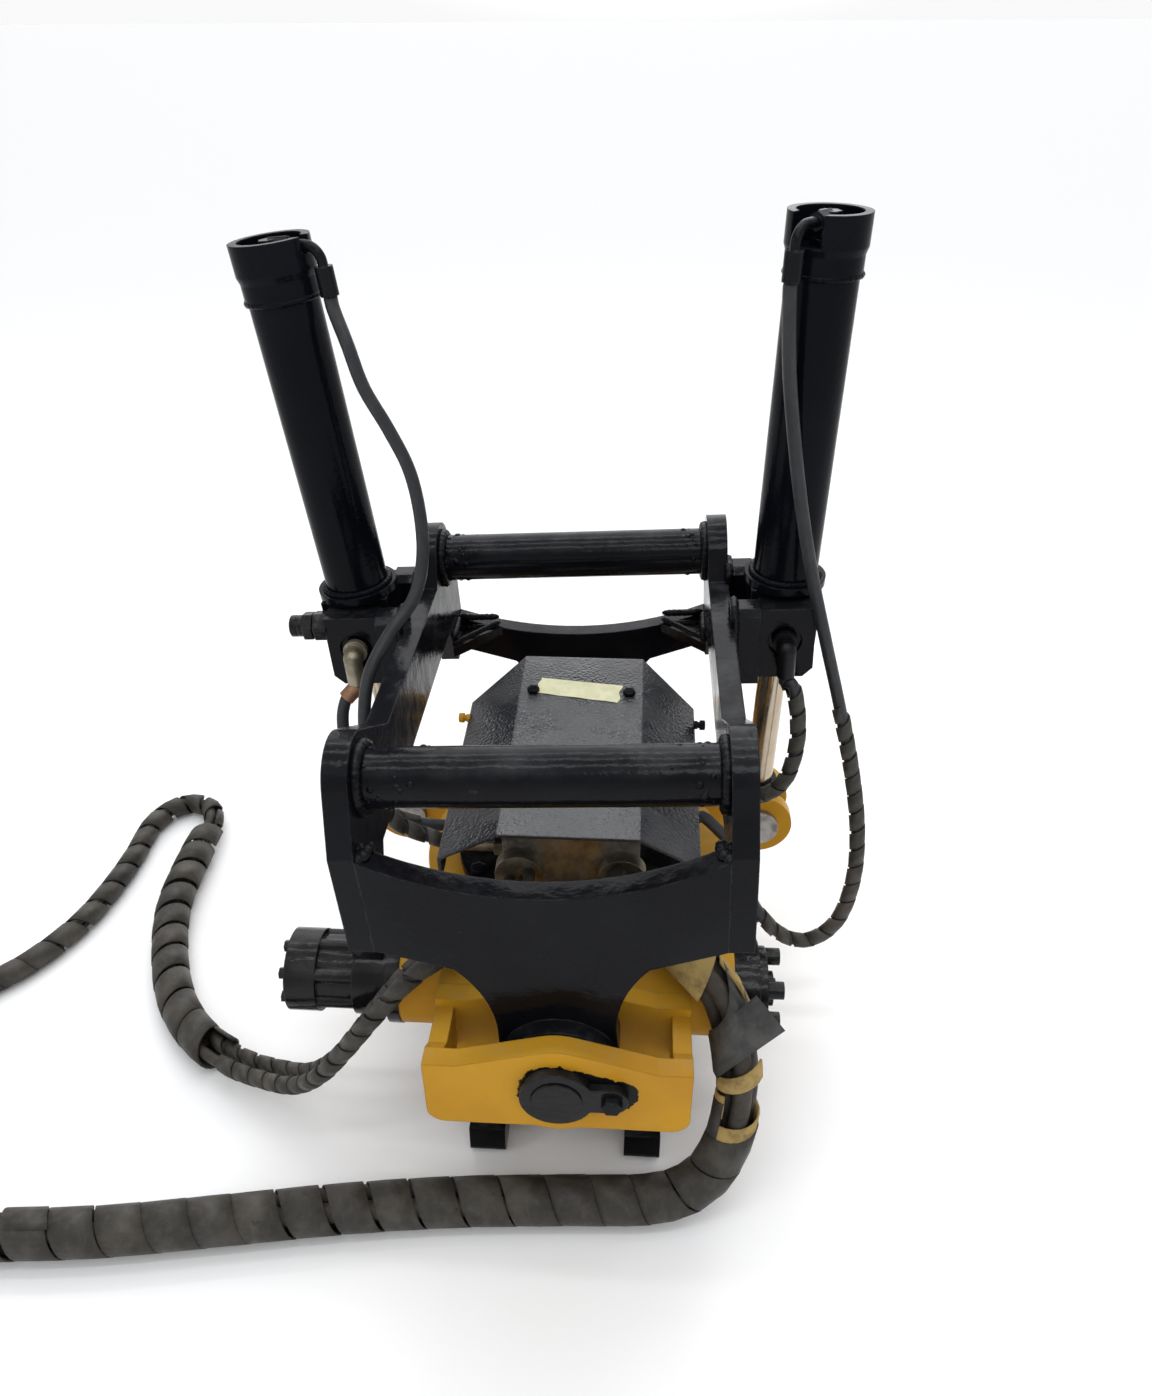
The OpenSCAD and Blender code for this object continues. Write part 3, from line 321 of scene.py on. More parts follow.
def dusty_rubber(name, base, dust, share, rough, grain):
    """Rubber or plastic with dust in patches and streaks, and dark scuffs."""
    s = Shade(name)
    patch = s.patches((0.38, 0.72), scale=24, detail=5, rough=0.62, distortion=0.4)
    streak = s.patches((0.45, 0.75), scale=90, detail=4, rough=0.7, stretch=(1, 1, 0.25))
    scuff = s.patches((0.66, 0.74), scale=48, detail=5, rough=0.7)
    color = s.mix(s.times(patch, share), base, dust)
    color = s.mix(s.times(streak, 0.28), color, scaled(1.5, dust))
    color = s.mix(scuff, color, scaled(0.35, base))
    gloss = s.patches((0.3, 0.7), rough, scale=35, detail=4)
    s.bumps([(s.noise(55, 3), 0.25, 0.002), (s.noise(420, 4, 0.65), grain, 0.0008)])
    return s.finish(color, gloss, specular=0.35)


def textile(name, base, stain):
    """Woven sleeve with stains."""
    s = Shade(name)
    weave = s.node("ShaderNodeTexWave", {"Vector": s.coord, "Scale": 240, "Distortion": 1.5},
                   wave_type="BANDS", bands_direction="DIAGONAL").outputs["Fac"]
    color = s.mix(s.patches((0.45, 0.68), scale=32, detail=5, rough=0.7), base, stain)
    color = s.mix(s.band(weave, (0.2, 0.9), (0.0, 0.35)), color, scaled(0.45, base))
    s.bumps([(s.noise(40, 3), 0.3, 0.003), (weave, 0.5, 0.0007)])
    return s.finish(color, 0.85, specular=0.25)


def masking_tape(name):
    """Creped paper tape, a little soiled."""
    s = Shade(name)
    color = s.mix(s.patches((0.35, 0.7), scale=60, detail=4),
                  (0.60, 0.58, 0.36), (0.70, 0.69, 0.47))
    soiled = s.patches((0.62, 0.75), scale=150, detail=5, rough=0.7)
    color = s.mix(soiled, color, (0.45, 0.42, 0.27))
    s.bumps([(s.noise(110, 3, stretch=(1, 4, 1)), 0.4, 0.0012)])
    return s.finish(color, 0.62, specular=0.35)


def sheet_paint(name):
    """Grey texture coat of the cover: pebbled, rubbed shiny in places, dusty."""
    s = Shade(name)
    edge_mask, rounded = s.edges(0.003)
    color = s.mix(s.patches((0.35, 0.7), scale=9, detail=5),
                  (0.020, 0.021, 0.025), (0.036, 0.037, 0.042))
    dusty = s.patches((0.42, 0.75), (0.0, 0.22), scale=18, detail=6, rough=0.7)
    color = s.mix(s.times(s.facing_up((0.5, 1.0)), dusty), color, (0.15, 0.145, 0.14))
    color = s.mix(s.times(edge_mask, 0.5), color, (0.12, 0.12, 0.125))
    gloss = s.patches((0.38, 0.62), (0.17, 0.42), scale=9, detail=4, rough=0.6)
    s.bumps([(s.noise(8, 2), 0.22, 0.012), (s.noise(250, 1.5, 0.5), 0.8, 0.0016)], rounded)
    return s.finish(color, gloss)


YELLOW_LOOK = dict(
    base=(0.51, 0.264, 0.0155), tint=(0.44, 0.214, 0.013), edge=(0.34, 0.19, 0.03),
    dust=(0.36, 0.27, 0.13), dust_share=0.35, rough=(0.30, 0.55), chip=(0.15, 0.085, 0.025),
    specular=0.10)
# The black paints' edge colours are lighter than their base: painted highlights along the edges
BLACK = brushed_paint(
    "black_paint", base=(0.0030, 0.0032, 0.0045), tint=(0.0060, 0.0064, 0.0085),
    edge=(0.036, 0.038, 0.046), dust=(0.085, 0.086, 0.092), dust_share=0.30, rough=(0.12, 0.30),
    wave=0.20, chip=(0.016, 0.016, 0.018), specular=0.02, coat=0.18)
BARREL = brushed_paint(
    "barrel_paint", base=(0.0024, 0.0028, 0.0045), tint=(0.0045, 0.005, 0.0075),
    edge=(0.02, 0.021, 0.026), dust=(0.07, 0.07, 0.07), dust_share=0.04, rough=(0.12, 0.30),
    wave=0.06, specular=0.02, coat=0.09)
YELLOW = brushed_paint("yellow_paint", wave=0.12, **YELLOW_LOOK)
FRONT_YELLOW = brushed_paint("front_yellow_paint", wave=0.14, smear=lock_smear, **YELLOW_LOOK)
COVER = sheet_paint("cover_paint")
CAST = brushed_paint(
    "motor_paint", base=(0.0034, 0.0034, 0.004), tint=(0.008, 0.008, 0.009),
    edge=(0.03, 0.03, 0.034), dust=(0.085, 0.083, 0.082), dust_share=0.40, rough=(0.12, 0.35),
    wave=0.34, specular=0.04, coat=0.28)
STEEL = worn_metal("bare_steel", base=(0.42, 0.41, 0.40), dark=(0.22, 0.20, 0.18),
                   rough=(0.28, 0.5), grime=0.7)
# The rods' tan base colour is a painted reflection of brownish surroundings in the chrome
ROD = worn_metal("rod_chrome_painted_reflection", base=(0.44, 0.37, 0.28), dark=(0.40, 0.325, 0.235),
                 rough=(0.14, 0.24), grime=0.04)
ZINC = worn_metal("zinc_plate", base=(0.34, 0.31, 0.24), dark=(0.17, 0.15, 0.11),
                  rough=(0.34, 0.6), grime=0.85)
# The port fittings: plated on the left, painted over on the right
PORT = worn_metal("port_plate", base=(0.30, 0.27, 0.20), dark=(0.15, 0.13, 0.09),
                  rough=(0.34, 0.6), grime=0.85, bright=(0.60, 0.57, 0.50), metallic=0.8,
                  painted=right_half)
COPPER = worn_metal("tan_ferrule", base=(0.36, 0.20, 0.12), dark=(0.22, 0.12, 0.07),
                    rough=(0.45, 0.65), grime=0.5)
HOSE = dusty_rubber("hose_rubber", base=(0.0150, 0.0165, 0.0195), dust=(0.036, 0.036, 0.038),
                    share=0.4, rough=(0.38, 0.60), grain=0.2)
FEED_HOSE = dusty_rubber("feed_hose_rubber", base=(0.020, 0.017, 0.014),
                         dust=(0.060, 0.048, 0.036), share=0.7, rough=(0.5, 0.7), grain=0.25)
WRAP = dusty_rubber("spiral_wrap", base=(0.030, 0.027, 0.023), dust=(0.070, 0.062, 0.050),
                    share=0.75, rough=(0.45, 0.7), grain=0.22)
STRAP = dusty_rubber("strap_rubber", base=(0.028, 0.028, 0.028), dust=(0.075, 0.072, 0.067),
                     share=0.75, rough=(0.5, 0.75), grain=0.3)
SLEEVE = textile("sleeve_cloth", base=(0.44, 0.31, 0.11), stain=(0.20, 0.14, 0.06))
TAPE = masking_tape("masking_tape")

# Nodes that aren't plain black
FINISHES = (
    (YELLOW, ("rotor_housing", "rear_bracket")),
    (FRONT_YELLOW, ("front_bracket",)),
    (COVER, ("cover", "cover_bolts")),
    (ROD, ("left_rod", "right_rod")),
    (BARREL, ("left_barrel", "right_barrel", "left_collar", "right_collar")),
    (CAST, ("motor", "end_cap", "motor_adapter", "drive_bolts", "tilt_pins", "pin_locks",
            "cartridge_valve")),
    (STEEL, ("left_gland", "right_gland", "left_piston", "right_piston", "eye_bushes",
             "rod_pins", "slew_ring_outer", "slew_ring_inner", "worm_bearings", "worm_shaft",
             "worm_wheel", "rotor_core", "manifold", "lock_pins")),
    (PORT, ("port_fittings",)),
    (ZINC, ("manifold_fittings", "cover_posts", "feed_couplings")),
)
finish_of = {name: mat for mat, names in FINISHES for name in names}
for name, piece in nodes.items():
    piece.data.materials.clear()
    piece.data.materials.append(finish_of.get(name, BLACK))

# Mesh tools


def new_object(name, verts, faces, mat, smooth):
    mesh = bpy.data.meshes.new(name)
    mesh.from_pydata([tuple(v) for v in verts], [], faces)
    mesh.validate()
    mesh.update()
    if smooth:
        mesh.shade_smooth()
    mesh.materials.append(mat)
    made = bpy.data.objects.new(name, mesh)
    bpy.context.scene.collection.objects.link(made)
    return made


def add_piece(name, verts, faces, mat, body=None, smooth=True):
    """A visible piece of the part, attached to a body if one is given."""
    piece = new_object(name, verts, faces, mat, smooth)
    if body:
        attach(piece, body)
    return piece


def path_length(path):
    return sum((b - a).length for a, b in zip(path, path[1:]))


def curve_through(points, step):
    """Smooth path through the points, with a point every step."""
    parts = 24
    p = [Vector(q) for q in points]
    p = [2 * p[0] - p[1]] + p + [2 * p[-1] - p[-2]]
    fine = []
    for a, b, c, d in zip(p, p[1:], p[2:], p[3:]):
        for i in range(parts):
            t = i / parts
            fine.append(0.5 * (2 * b + (c - a) * t + (2 * a - 5 * b + 4 * c - d) * t * t
                               + (3 * b - a - 3 * c + d) * t ** 3))
    fine.append(p[-2])
    along = [0.0]
    for a, b in zip(fine, fine[1:]):
        along.append(along[-1] + (b - a).length)
    count = max(2, round(along[-1] / step))
    out, k = [], 0
    for i in range(count + 1):
        want = along[-1] * i / count
        while k < len(fine) - 2 and along[k + 1] < want:
            k += 1
        gap = along[k + 1] - along[k]
        out.append(fine[k].lerp(fine[k + 1], (want - along[k]) / gap if gap else 0))
    return out


def frames_along(path):
    """Tangent and two carried side vectors at each point of a path."""
    made, side = [], None
    for i in range(len(path)):
        t = (path[min(i + 1, len(path) - 1)] - path[max(i - 1, 0)]).normalized()
        if side is None:
            side = t.cross(Vector((0, 0, 1)) if abs(t.z) < 0.8 else Vector((1, 0, 0)))
        side = (side - side.dot(t) * t).normalized()
        made.append((t, side.copy(), t.cross(side)))
    return made


def around(angle, u, w):
    """Unit vector at an angle from u towards w."""
    return math.cos(angle) * u + math.sin(angle) * w


def sides_of(axis):
    """Two unit vectors square to an axis of length 1."""
    u = axis.orthogonal().normalized()
    return u, axis.cross(u)


class Mesh:
    """Collects the rings of several shapes into one mesh."""

    def __init__(self):
        self.verts, self.faces = [], []

    def rings(self, rings, closed=False):
        n, base, count = len(rings[0]), len(self.verts), len(rings)
        for ring in rings:
            self.verts.extend(ring)
        for i in range(count if closed else count - 1):
            a, b = base + i * n, base + (i + 1) % count * n
            for k in range(n):
                m = (k + 1) % n
                self.faces.append((a + k, a + m, b + m, b + k))
        if not closed:
            self.faces.append(tuple(base + k for k in reversed(range(n))))
            self.faces.append(tuple(base + (count - 1) * n + k for k in range(n)))

    def tube(self, path, radius_at, sides, closed=False):
        """Round tube along a path. radius_at gives the radius at a point's number."""
        rings = []
        for i, (p, (_, u, w)) in enumerate(zip(path, frames_along(path))):
            r = radius_at(i)
            rings.append([p + r * around(2 * math.pi * k / sides, u, w) for k in range(sides)])
        self.rings(rings, closed)

    def lathe(self, foot, axis, profile, sides=24):
        """Turned shape. The profile lists distance along the axis and radius, in millimetres."""
        axis = Vector(axis).normalized()
        u, w = sides_of(axis)
        angles = [2 * math.pi * k / sides for k in range(sides)]
        self.rings([[Vector(foot) + axis * z / MM_PER_M + r / MM_PER_M * around(a, u, w)
                     for a in angles] for z, r in profile])

    def add(self, name, mat, slot, body=None, smooth=True):
        return add_piece(name, self.verts, self.faces, mat, body, smooth)


# A flat band wound round a path: distances along it, sizes in metres, a seed for its sway, and
# the distance at which it faces the camera, where that matters
Band = namedtuple("Band", "start end inner thick pitch width seed front wobble",
                  defaults=(None, 0.12))
STEPS_PER_TURN = 20


def wind_band(mesh, path, band):
    rnd = random.Random(band.seed)
    frames = frames_along(path)
    step = path_length(path) / (len(path) - 1)

    def at(distance):
        """Place and side vectors at a distance along the path."""
        i = min(max(distance / step, 0), len(path) - 1.001)
        k = int(i)
        f = i - k
        u, w = (frames[k][j].lerp(frames[k + 1][j], f).normalized() for j in (1, 2))
        return path[k].lerp(path[k + 1], f), u, w

    phases = [rnd.uniform(0, 6.3) for _ in range(4)]
    rings, turn, d = [], 0.0, band.start
    if band.front:
        p, u, w = at(band.front)
        face = math.atan2((EYE - p).dot(w), (EYE - p).dot(u))
        turn = face / (2 * math.pi) - (band.front - band.start) / band.pitch
    while d < band.end:
        sway = 1 + band.wobble * (math.sin(turn * 0.9 + phases[0]) * 0.5
                                  + math.sin(turn * 0.37 + phases[1]) * 0.5)
        a = 2 * math.pi * turn
        half = band.width * sway / 2
        ripple = 0.15 * band.thick * math.sin(3 * a + phases[2])
        ring = []
        for off, lift in ((-half, 0.0), (-half, band.thick), (0.0, band.thick * 1.25),
                          (half, band.thick), (half, 0.0), (0.0, 0.0)):
            p, u, w = at(d + off)
            raised = 0.3 * band.thick if off < 0 and lift else 0
            ring.append(p + (band.inner + lift + ripple + raised) * around(a, u, w))
        rings.append(ring)
        turn += 1 / STEPS_PER_TURN
        d += band.pitch / STEPS_PER_TURN * (
            1 + 0.35 * band.wobble * math.sin(turn * 1.3 + phases[3]))
    mesh.rings(rings)


def wound(path, *bands):
    mesh = Mesh()
    for band in bands:
        wind_band(mesh, path, band)
    return mesh


# Hoses: the routes repeat the CAD source's points, in millimetres

LEFT_CAP = [
    (-252, 112, 865), (-238, 106, 820), (-214, 101, 775), (-194, 96, 730), (-184, 86, 680),
    (-182, 68, 632), (-192, 46, 592), (-217, 15, 562), (-238, -20, 524), (-242, -50, 470),
    (-236, -68, 410), (-215, -68, 350)]
RIGHT_CAP = [
    (220, 92, 850), (232, 90, 780), (248, 78, 700), (268, 64, 620), (292, 53, 540),
    (318, 47, 455), (342, 40, 370), (358, 24, 290), (360, 4, 220), (344, -14, 160),
    (308, -22, 130), (268, -20, 140), (232, -12, 185), (216, -6, 250)]
LEFT_PORT = [
    (-286, 44, 455), (-292, 28, 430), (-284, 6, 385), (-262, -12, 345), (-220, -22, 315)]
RIGHT_PORT = [
    (256, 46, 490), (266, 38, 455), (268, 26, 410), (256, 20, 360), (222, 26, 330)]
LEFT_FEED = [
    (-60, -128, 325), (-60, -146, 325), (-84, -184, 320), (-124, -220, 306), (-166, -247, 287),
    (-203, -260, 245), (-240, -264, 190), (-276, -258, 135), (-320, -236, 80), (-370, -208, 45),
    (-432, -180, 29), (-495, -142, 28), (-550, -80, 28), (-592, 5, 28), (-620, 95, 28),
    (-628, 185, 28), (-628, 260, 28)]
LEFT_TAIL = [
    (-628, 286, 28), (-642, 322, 23), (-664, 342, 19), (-696, 345, 18), (-722, 322, 18),
    (-735, 280, 18), (-733, 215, 18), (-738, 140, 18), (-752, 65, 18), (-780, 0, 18),
    (-815, -48, 18), (-862, -85, 18), (-915, -100, 18), (-965, -100, 18)]
RIGHT_FEED = [
    (60, -128, 325), (60, -146, 325), (88, -184, 320), (128, -220, 309), (167, -250, 286),
    (186, -262, 238), (196, -281, 190), (194, -296, 135), (182, -310, 85), (156, -325, 48),
    (105, -337, 31), (0, -344, 30), (-120, -353, 30), (-250, -369, 30), (-380, -390, 30),
    (-510, -410, 30), (-630, -420, 30), (-730, -420, 30)]

# Tilt hoses: from a fitting on the tilting side to the manifold

TILT_RADIUS = 0.0075
TILT_STEP = 0.005
STRAIGHT = 0.014  # length of straight hose at each end
# start, direction there, route, end on the manifold, the two places between which the hose goes
# over from the hitch to the housing, and the wrap's start, end and seed
TiltHose = namedtuple("TiltHose", "name start lead route end span wrap")
TILT_HOSES = (
    TiltHose("left_cap", elbow_foot(LEFT), -cylinder_frame(LEFT)[1], LEFT_CAP,
             (-150, -60, 316), ((-0.217, 0.0, 0.560), (-0.217, -0.04, 0.330)), (0.60, 0.74, 3)),
    TiltHose("right_cap", elbow_foot(RIGHT), -cylinder_frame(RIGHT)[1], RIGHT_CAP,
             (150, -4, 316), ((0.340, 0.040, 0.400), (0.200, -0.020, 0.330)), (0.50, 0.94, 5)),
    TiltHose("left_port", port_foot(LEFT), HITCH_DOWN, LEFT_PORT,
             (-150, -24, 308), ((-0.288, 0.040, 0.450), (-0.250, -0.015, 0.335)),
             (0.10, 0.23, 9)),
    TiltHose("right_port", port_foot(RIGHT), HITCH_DOWN, RIGHT_PORT,
             (150, 36, 326), ((0.262, 0.045, 0.470), (0.240, 0.020, 0.340)), (0.03, 0.22, 11)),
)


def tilt_tube(spec):
    end = Vector(spec.end) / MM_PER_M
    out = Vector((math.copysign(STRAIGHT, spec.end[0]), 0, 0))
    path = curve_through([spec.start, spec.start + spec.lead * STRAIGHT] + mm(spec.route)
                         + [end + out, end], TILT_STEP)
    mesh = Mesh()
    mesh.tube(path, lambda i: TILT_RADIUS, 14)
    hose = mesh.add(spec.name + "_hose_tube", HOSE, "rubber")
    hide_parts(spec.name + "_hose")
    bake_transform(hose)
    return path, hose


def tilt_wrap(spec, path):
    start, end, seed = spec.wrap
    band = Band(start, end, inner=0.0078, thick=0.0017, pitch=0.026, width=0.0225, seed=seed)
    wrap = wound(path, band).add(spec.name + "_wrap", WRAP, "rubber")
    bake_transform(wrap)
    return wrap


tilt_tubes = {spec.name: tilt_tube(spec) for spec in TILT_HOSES}
for spec in TILT_HOSES:
    path, hose = tilt_tubes[spec.name]
    tilt_wrap(spec, path)

# Feed bundles: several hoses side by side, wrapped, with a coupling on each hose's far end

FEED_STEP = 0.006
LEFT_RADIUS, RIGHT_RADIUS = 0.0070, 0.0108
# distance along the coupling, in millimetres, and share of its radius
COUPLING = (
    (-14, 0.80), (-14, 1), (-9, 1), (-8, 0.95), (-4, 0.95), (-3, 1), (6, 1), (7, 0.72),
    (22, 0.72), (23, 0.98), (38, 0.98), (39, 0.78), (64, 0.78), (66, 0.62), (70, 0.62))


def eased(x, a, b):
    t = min(max((x - a) / (b - a), 0), 1)
    return t * t * (3 - 2 * t)


def strands(path, count, spread, twist, phase):
    """Paths of several hoses side by side. spread gives their distance from the route."""
    frames = frames_along(path)
    step = path_length(path) / (len(path) - 1)
    return [[p + spread(i * step) * around(phase + 2 * math.pi * n / count + twist * i * step,
                                           u, w)
             for i, (p, (_, u, w)) in enumerate(zip(path, frames))] for n in range(count)]


def feed(name, route, count, radius, spread, twist, phase, replaced):
    """A bundle's middle path, and each hose with its own path."""
    path = curve_through(mm(route), FEED_STEP)
    made = []
    for n, line in enumerate(strands(path, count, spread, twist, phase)):
        mesh = Mesh()
        mesh.tube(line, lambda i: radius, 12)
        hose = mesh.add(f"{name}_hose_{n + 1}", FEED_HOSE, "rubber", "housing")
        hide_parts(*replaced)
        made.append((hose, line))
    return path, made


def coupling(name, line, radius):
    """Crimped ferrule and coupling nose on a hose's far end."""
    mesh = Mesh()
    mesh.lathe(line[-1], line[-1] - line[-2], [(z, radius * share) for z, share in COUPLING])
    piece = mesh.add(name, ZINC, "plated", "housing", smooth=False)
    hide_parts("feed_couplings")
    return piece


def finish_feed(name, hoses, coupling_radius):
    """Couplings on each hose's far end."""
    for n, (hose, line) in enumerate(hoses):
        pieces = [coupling(f"{name}_coupling_{n + 1}", line, coupling_radius)]


# Left feed: hoses wrapped one by one, then in one wide wrap, then in a tight one
LEFT_JOIN = 0.62
LEFT_TIGHT = path_length(curve_through(mm(LEFT_FEED), FEED_STEP))


def left_spread(distance):
    return 0.0135 - 0.0063 * eased(distance, LEFT_TIGHT - 0.10, LEFT_TIGHT - 0.01)


left_path, left_hoses = feed(
    "left_feed", LEFT_FEED + LEFT_TAIL, count=2, radius=LEFT_RADIUS, spread=left_spread,
    twist=1.2, phase=0.5, replaced=("left_feed", "left_tail"))
for n, (_, line) in enumerate(left_hoses):
    band = Band(0.02, LEFT_JOIN - 0.02 * n, inner=0.0074, thick=0.0026, pitch=0.030,
                width=0.026, seed=21 + n)
    wound(line, band).add(f"left_hose_wrap_{n + 1}", WRAP, "rubber", "housing")
for name, band in (
    ("left_wide_wrap", Band(LEFT_JOIN - 0.01, LEFT_TIGHT - 0.01, inner=0.0222, thick=0.0026,
                            pitch=0.046, width=0.038, seed=31, wobble=0.16)),
    ("left_tail_wrap", Band(LEFT_TIGHT + 0.03, path_length(left_path) - 0.03, inner=0.0143,
                            thick=0.0019, pitch=0.044, width=0.037, seed=33, wobble=0.16)),
):
    wound(left_path, band).add(name, WRAP, "rubber", "housing")
finish_feed("left", left_hoses, 7.9)

# Right feed: cloth sleeve, crossed rubber straps, bare hoses, then one wide wrap
STRAP_POINTS = slice(20, 60)  # stretch of the bundle's path that the second strap crosses
# The second strap in pixels of the frame: start, run and half its width
STRAP_START, STRAP_RUN, STRAP_HALF = (704, 1063), (67, -50), (12.5, 15.5)
STRAP_RADIUS = 0.0275
STRAP_LEAVES = 0.5  # share of the radius, to the right, at which the strap leaves the bundle
# The strap's section: share of the half width, and thickness
STRAP_SECTION = (
    (-1, 0), (-0.5, 0), (0, 0), (0.5, 0), (1, 0),
    (1, 0.0018), (0.5, 0.0024), (0, 0.0026), (-0.5, 0.0024), (-1, 0.0018))


def strap_end(mesh, path):
    """The second strap: round the bundle's front, then off to the right with a loose end."""
    rows = [(pixel_of(p), p) for p in path]
    steps = 16

    def axis_at(py):
        """Column and place of the bundle's middle at a row of the frame."""
        for (a, p), (b, q) in zip(rows, rows[1:]):
            if a[1] <= py <= b[1]:
                f = (py - a[1]) / (b[1] - a[1])
                return a[0] + f * (b[0] - a[0]), p.lerp(q, f)
        raise RuntimeError(f"the bundle isn't seen at row {py}")

    rings = []
    for i in range(steps + 1):
        f = i / steps
        ring = []
        for half, lift in STRAP_SECTION:
            wide = half * (1 + 0.15 * f)
            px, py = (STRAP_START[j] + STRAP_RUN[j] * f + STRAP_HALF[j] * wide for j in (0, 1))
            axis_px, axis = axis_at(py)
            scale = (axis - EYE).dot(EYE_FORWARD) / FOCAL
            r = STRAP_RADIUS + lift
            u = max((px - axis_px) * scale, -r)
            if u < STRAP_LEAVES * r:
                out = math.sqrt(r * r - u * u)
            else:
                past = u - STRAP_LEAVES * r
                out = (r * math.sqrt(1 - STRAP_LEAVES ** 2) - 0.40 * past
                       + 0.004 * math.sin(90 * past))
            ray = ray_through(axis_px + u / scale, py).normalized()
            ring.append(EYE + ray * ((axis - EYE).dot(ray) - out))
        rings.append(ring)
    mesh.rings(rings)


right_path, right_hoses = feed(
    "right_feed", RIGHT_FEED, count=3, radius=RIGHT_RADIUS, spread=lambda distance: 0.0131,
    twist=0.9, phase=0.9, replaced=("right_feed",))
RIGHT_END = path_length(right_path)
for name, mat, bands in (
    ("right_lining", SLEEVE, (Band(0.03, 0.185, 0.0243, 0.0018, 0.058, 0.052, 43),
                              Band(0.272, 0.294, 0.0243, 0.0018, 0.046, 0.017, 47, front=0.281),
                              Band(0.318, 0.362, 0.0241, 0.0016, 0.040, 0.030, 48))),
    ("right_straps", STRAP, (Band(0.175, 0.262, 0.0244, 0.0016, 0.140, 0.054, 44, front=0.215),)),
    ("right_wide_wrap", WRAP, (Band(0.338, RIGHT_END - 0.12, 0.0248, 0.0019, 0.050, 0.0485, 41),
                               Band(RIGHT_END - 0.15, RIGHT_END - 0.03, 0.0250, 0.0022, 0.062,
                                    0.050, 42))),
):
    mesh = wound(right_path, *bands)
    if name == "right_straps":
        strap_end(mesh, right_path[STRAP_POINTS])
    mesh.add(name, mat, "rubber", "housing")
finish_feed("right", right_hoses, 11.6)

# Welds: rippled beads of filler under the paint

BEAD_STEP, BEAD_RIPPLE, BEAD_SIDES = 0.0022, 0.007, 8
BEAD_WANDER = 0.0006
BEAD_TAPER = 5  # steps over which an open bead grows to its full size


def bead(mesh, points, radius, seed, closed=False):
    rnd = random.Random(seed)
    path = [Vector(p) for p in points]
    if closed:
        path += path[:1]
    total = path_length(path)
    count = max(8, int(total / BEAD_STEP))
    lengths = [(b - a).length for a, b in zip(path, path[1:])]
    line = []
    for i in range(count if closed else count + 1):
        d = total * i / count
        k = 0
        while k < len(lengths) - 1 and d > lengths[k]:
            d -= lengths[k]
            k += 1
        line.append(path[k].lerp(path[k + 1], d / lengths[k] if lengths[k] else 0))
    jitter = [rnd.uniform(-1, 1) for _ in range(count + 2)]
    n = len(line)
    sway = [sum(jitter[(i + j) % len(jitter)] for j in range(-2, 3)) / 5 for i in range(n)]
    line = [p + Vector((sway[i], sway[(i * 7 + 3) % n], sway[(i * 5 + 1) % n])) * BEAD_WANDER
            for i, p in enumerate(line)]
    step = total / count

    def radius_at(i):
        taper = 1.0 if closed else min(1, (i + 2) / BEAD_TAPER, (n - i + 1) / BEAD_TAPER)
        ripple = abs(math.sin(math.pi * i * step / BEAD_RIPPLE))
        return radius * taper * (0.86 + 0.22 * ripple + 0.10 * sway[i])

    mesh.tube(line, radius_at, BEAD_SIDES, closed)


def circle(center, axis, radius, count=48):
    u, w = sides_of(Vector(axis).normalized())
    return [Vector(center) + radius * around(2 * math.pi * i / count, u, w)
            for i in range(count)]


def seam(mesh, side, radius, seed, *points):
    """Open bead through points of the hitch, mirrored for the left side."""
    bead(mesh, [on_hitch(side * x, y, z) for x, y, z in points], radius, seed)


def hitch_welds():
    mesh = Mesh()
    for y in CROSS_PINS_Y:
        for s in SIDES:
            ring = circle(on_hitch(s * 172.5, y, CROSS_PIN_Z), HITCH_ACROSS, 0.0325)
            bead(mesh, ring, 0.0062, y + s, closed=True)
    for s in SIDES:
        # Front corner, a heap of filler on it, and the run over the end plate
        seam(mesh, s, 0.006, s + 3, (173, -282, 168), (173, -282, 276))
        for k in range(5):
            lump = on_hitch(s * (178 - 9 * k % 13), -300 + 4 * k, 277 + 2 * (k % 2))
            mesh.lathe(lump, (0.1 * s, -0.3, 1),
                       [(-4, 7), (0, 7.5), (2.5, 5.5), (4 + k % 2, 2)], 10)
        seam(mesh, s, 0.006, s + 6, (174, -307, 276), (174, -284, 276), (172, -282, 262))
        # Rear corner and its gusset
        seam(mesh, s, 0.006, s + 7, (173, 282, 168), (173, 282, 214))
        seam(mesh, s, 0.005, s + 8, (174, 282, 214), (150, 282, 214))
        for z in (196, 213):
            seam(mesh, s, 0.0048, z + s, (172, 281, z), (116, 281, z))
            seam(mesh, s, 0.0048, z - s, (173, 280, z), (173, 224, z))
        seam(mesh, s, 0.004, s + 15, (115, 281, 205), (172, 223, 205))
        # Trunnion ears
        for y0, y1 in ((64, 104), (176, 216)):
            outline = ((y0, 232), (y1, 232), (y1, 323), (y1 - 8, 331), (y0 + 8, 331), (y0, 323))
            ring = [on_hitch(s * 201, y, z) for y, z in outline]
            bead(mesh, ring, 0.0052, y0 + s, closed=True)
    mesh.add("hitch_welds", BLACK, "black_paint", "hitch")


def cylinder_welds(side, body):
    mesh = Mesh()
    up = cylinder_frame(side)[1]
    for height, ring_radius, radius, seed in ((61, 0.0400, 0.0042, 60), (405, 0.0393, 0.0034, 70)):
        ring = circle(on_cylinder(side, 0, 0, height), up, ring_radius)
        bead(mesh, ring, radius, seed + side, closed=True)
    mesh.add(body + "_welds", BARREL, "black_paint", body)


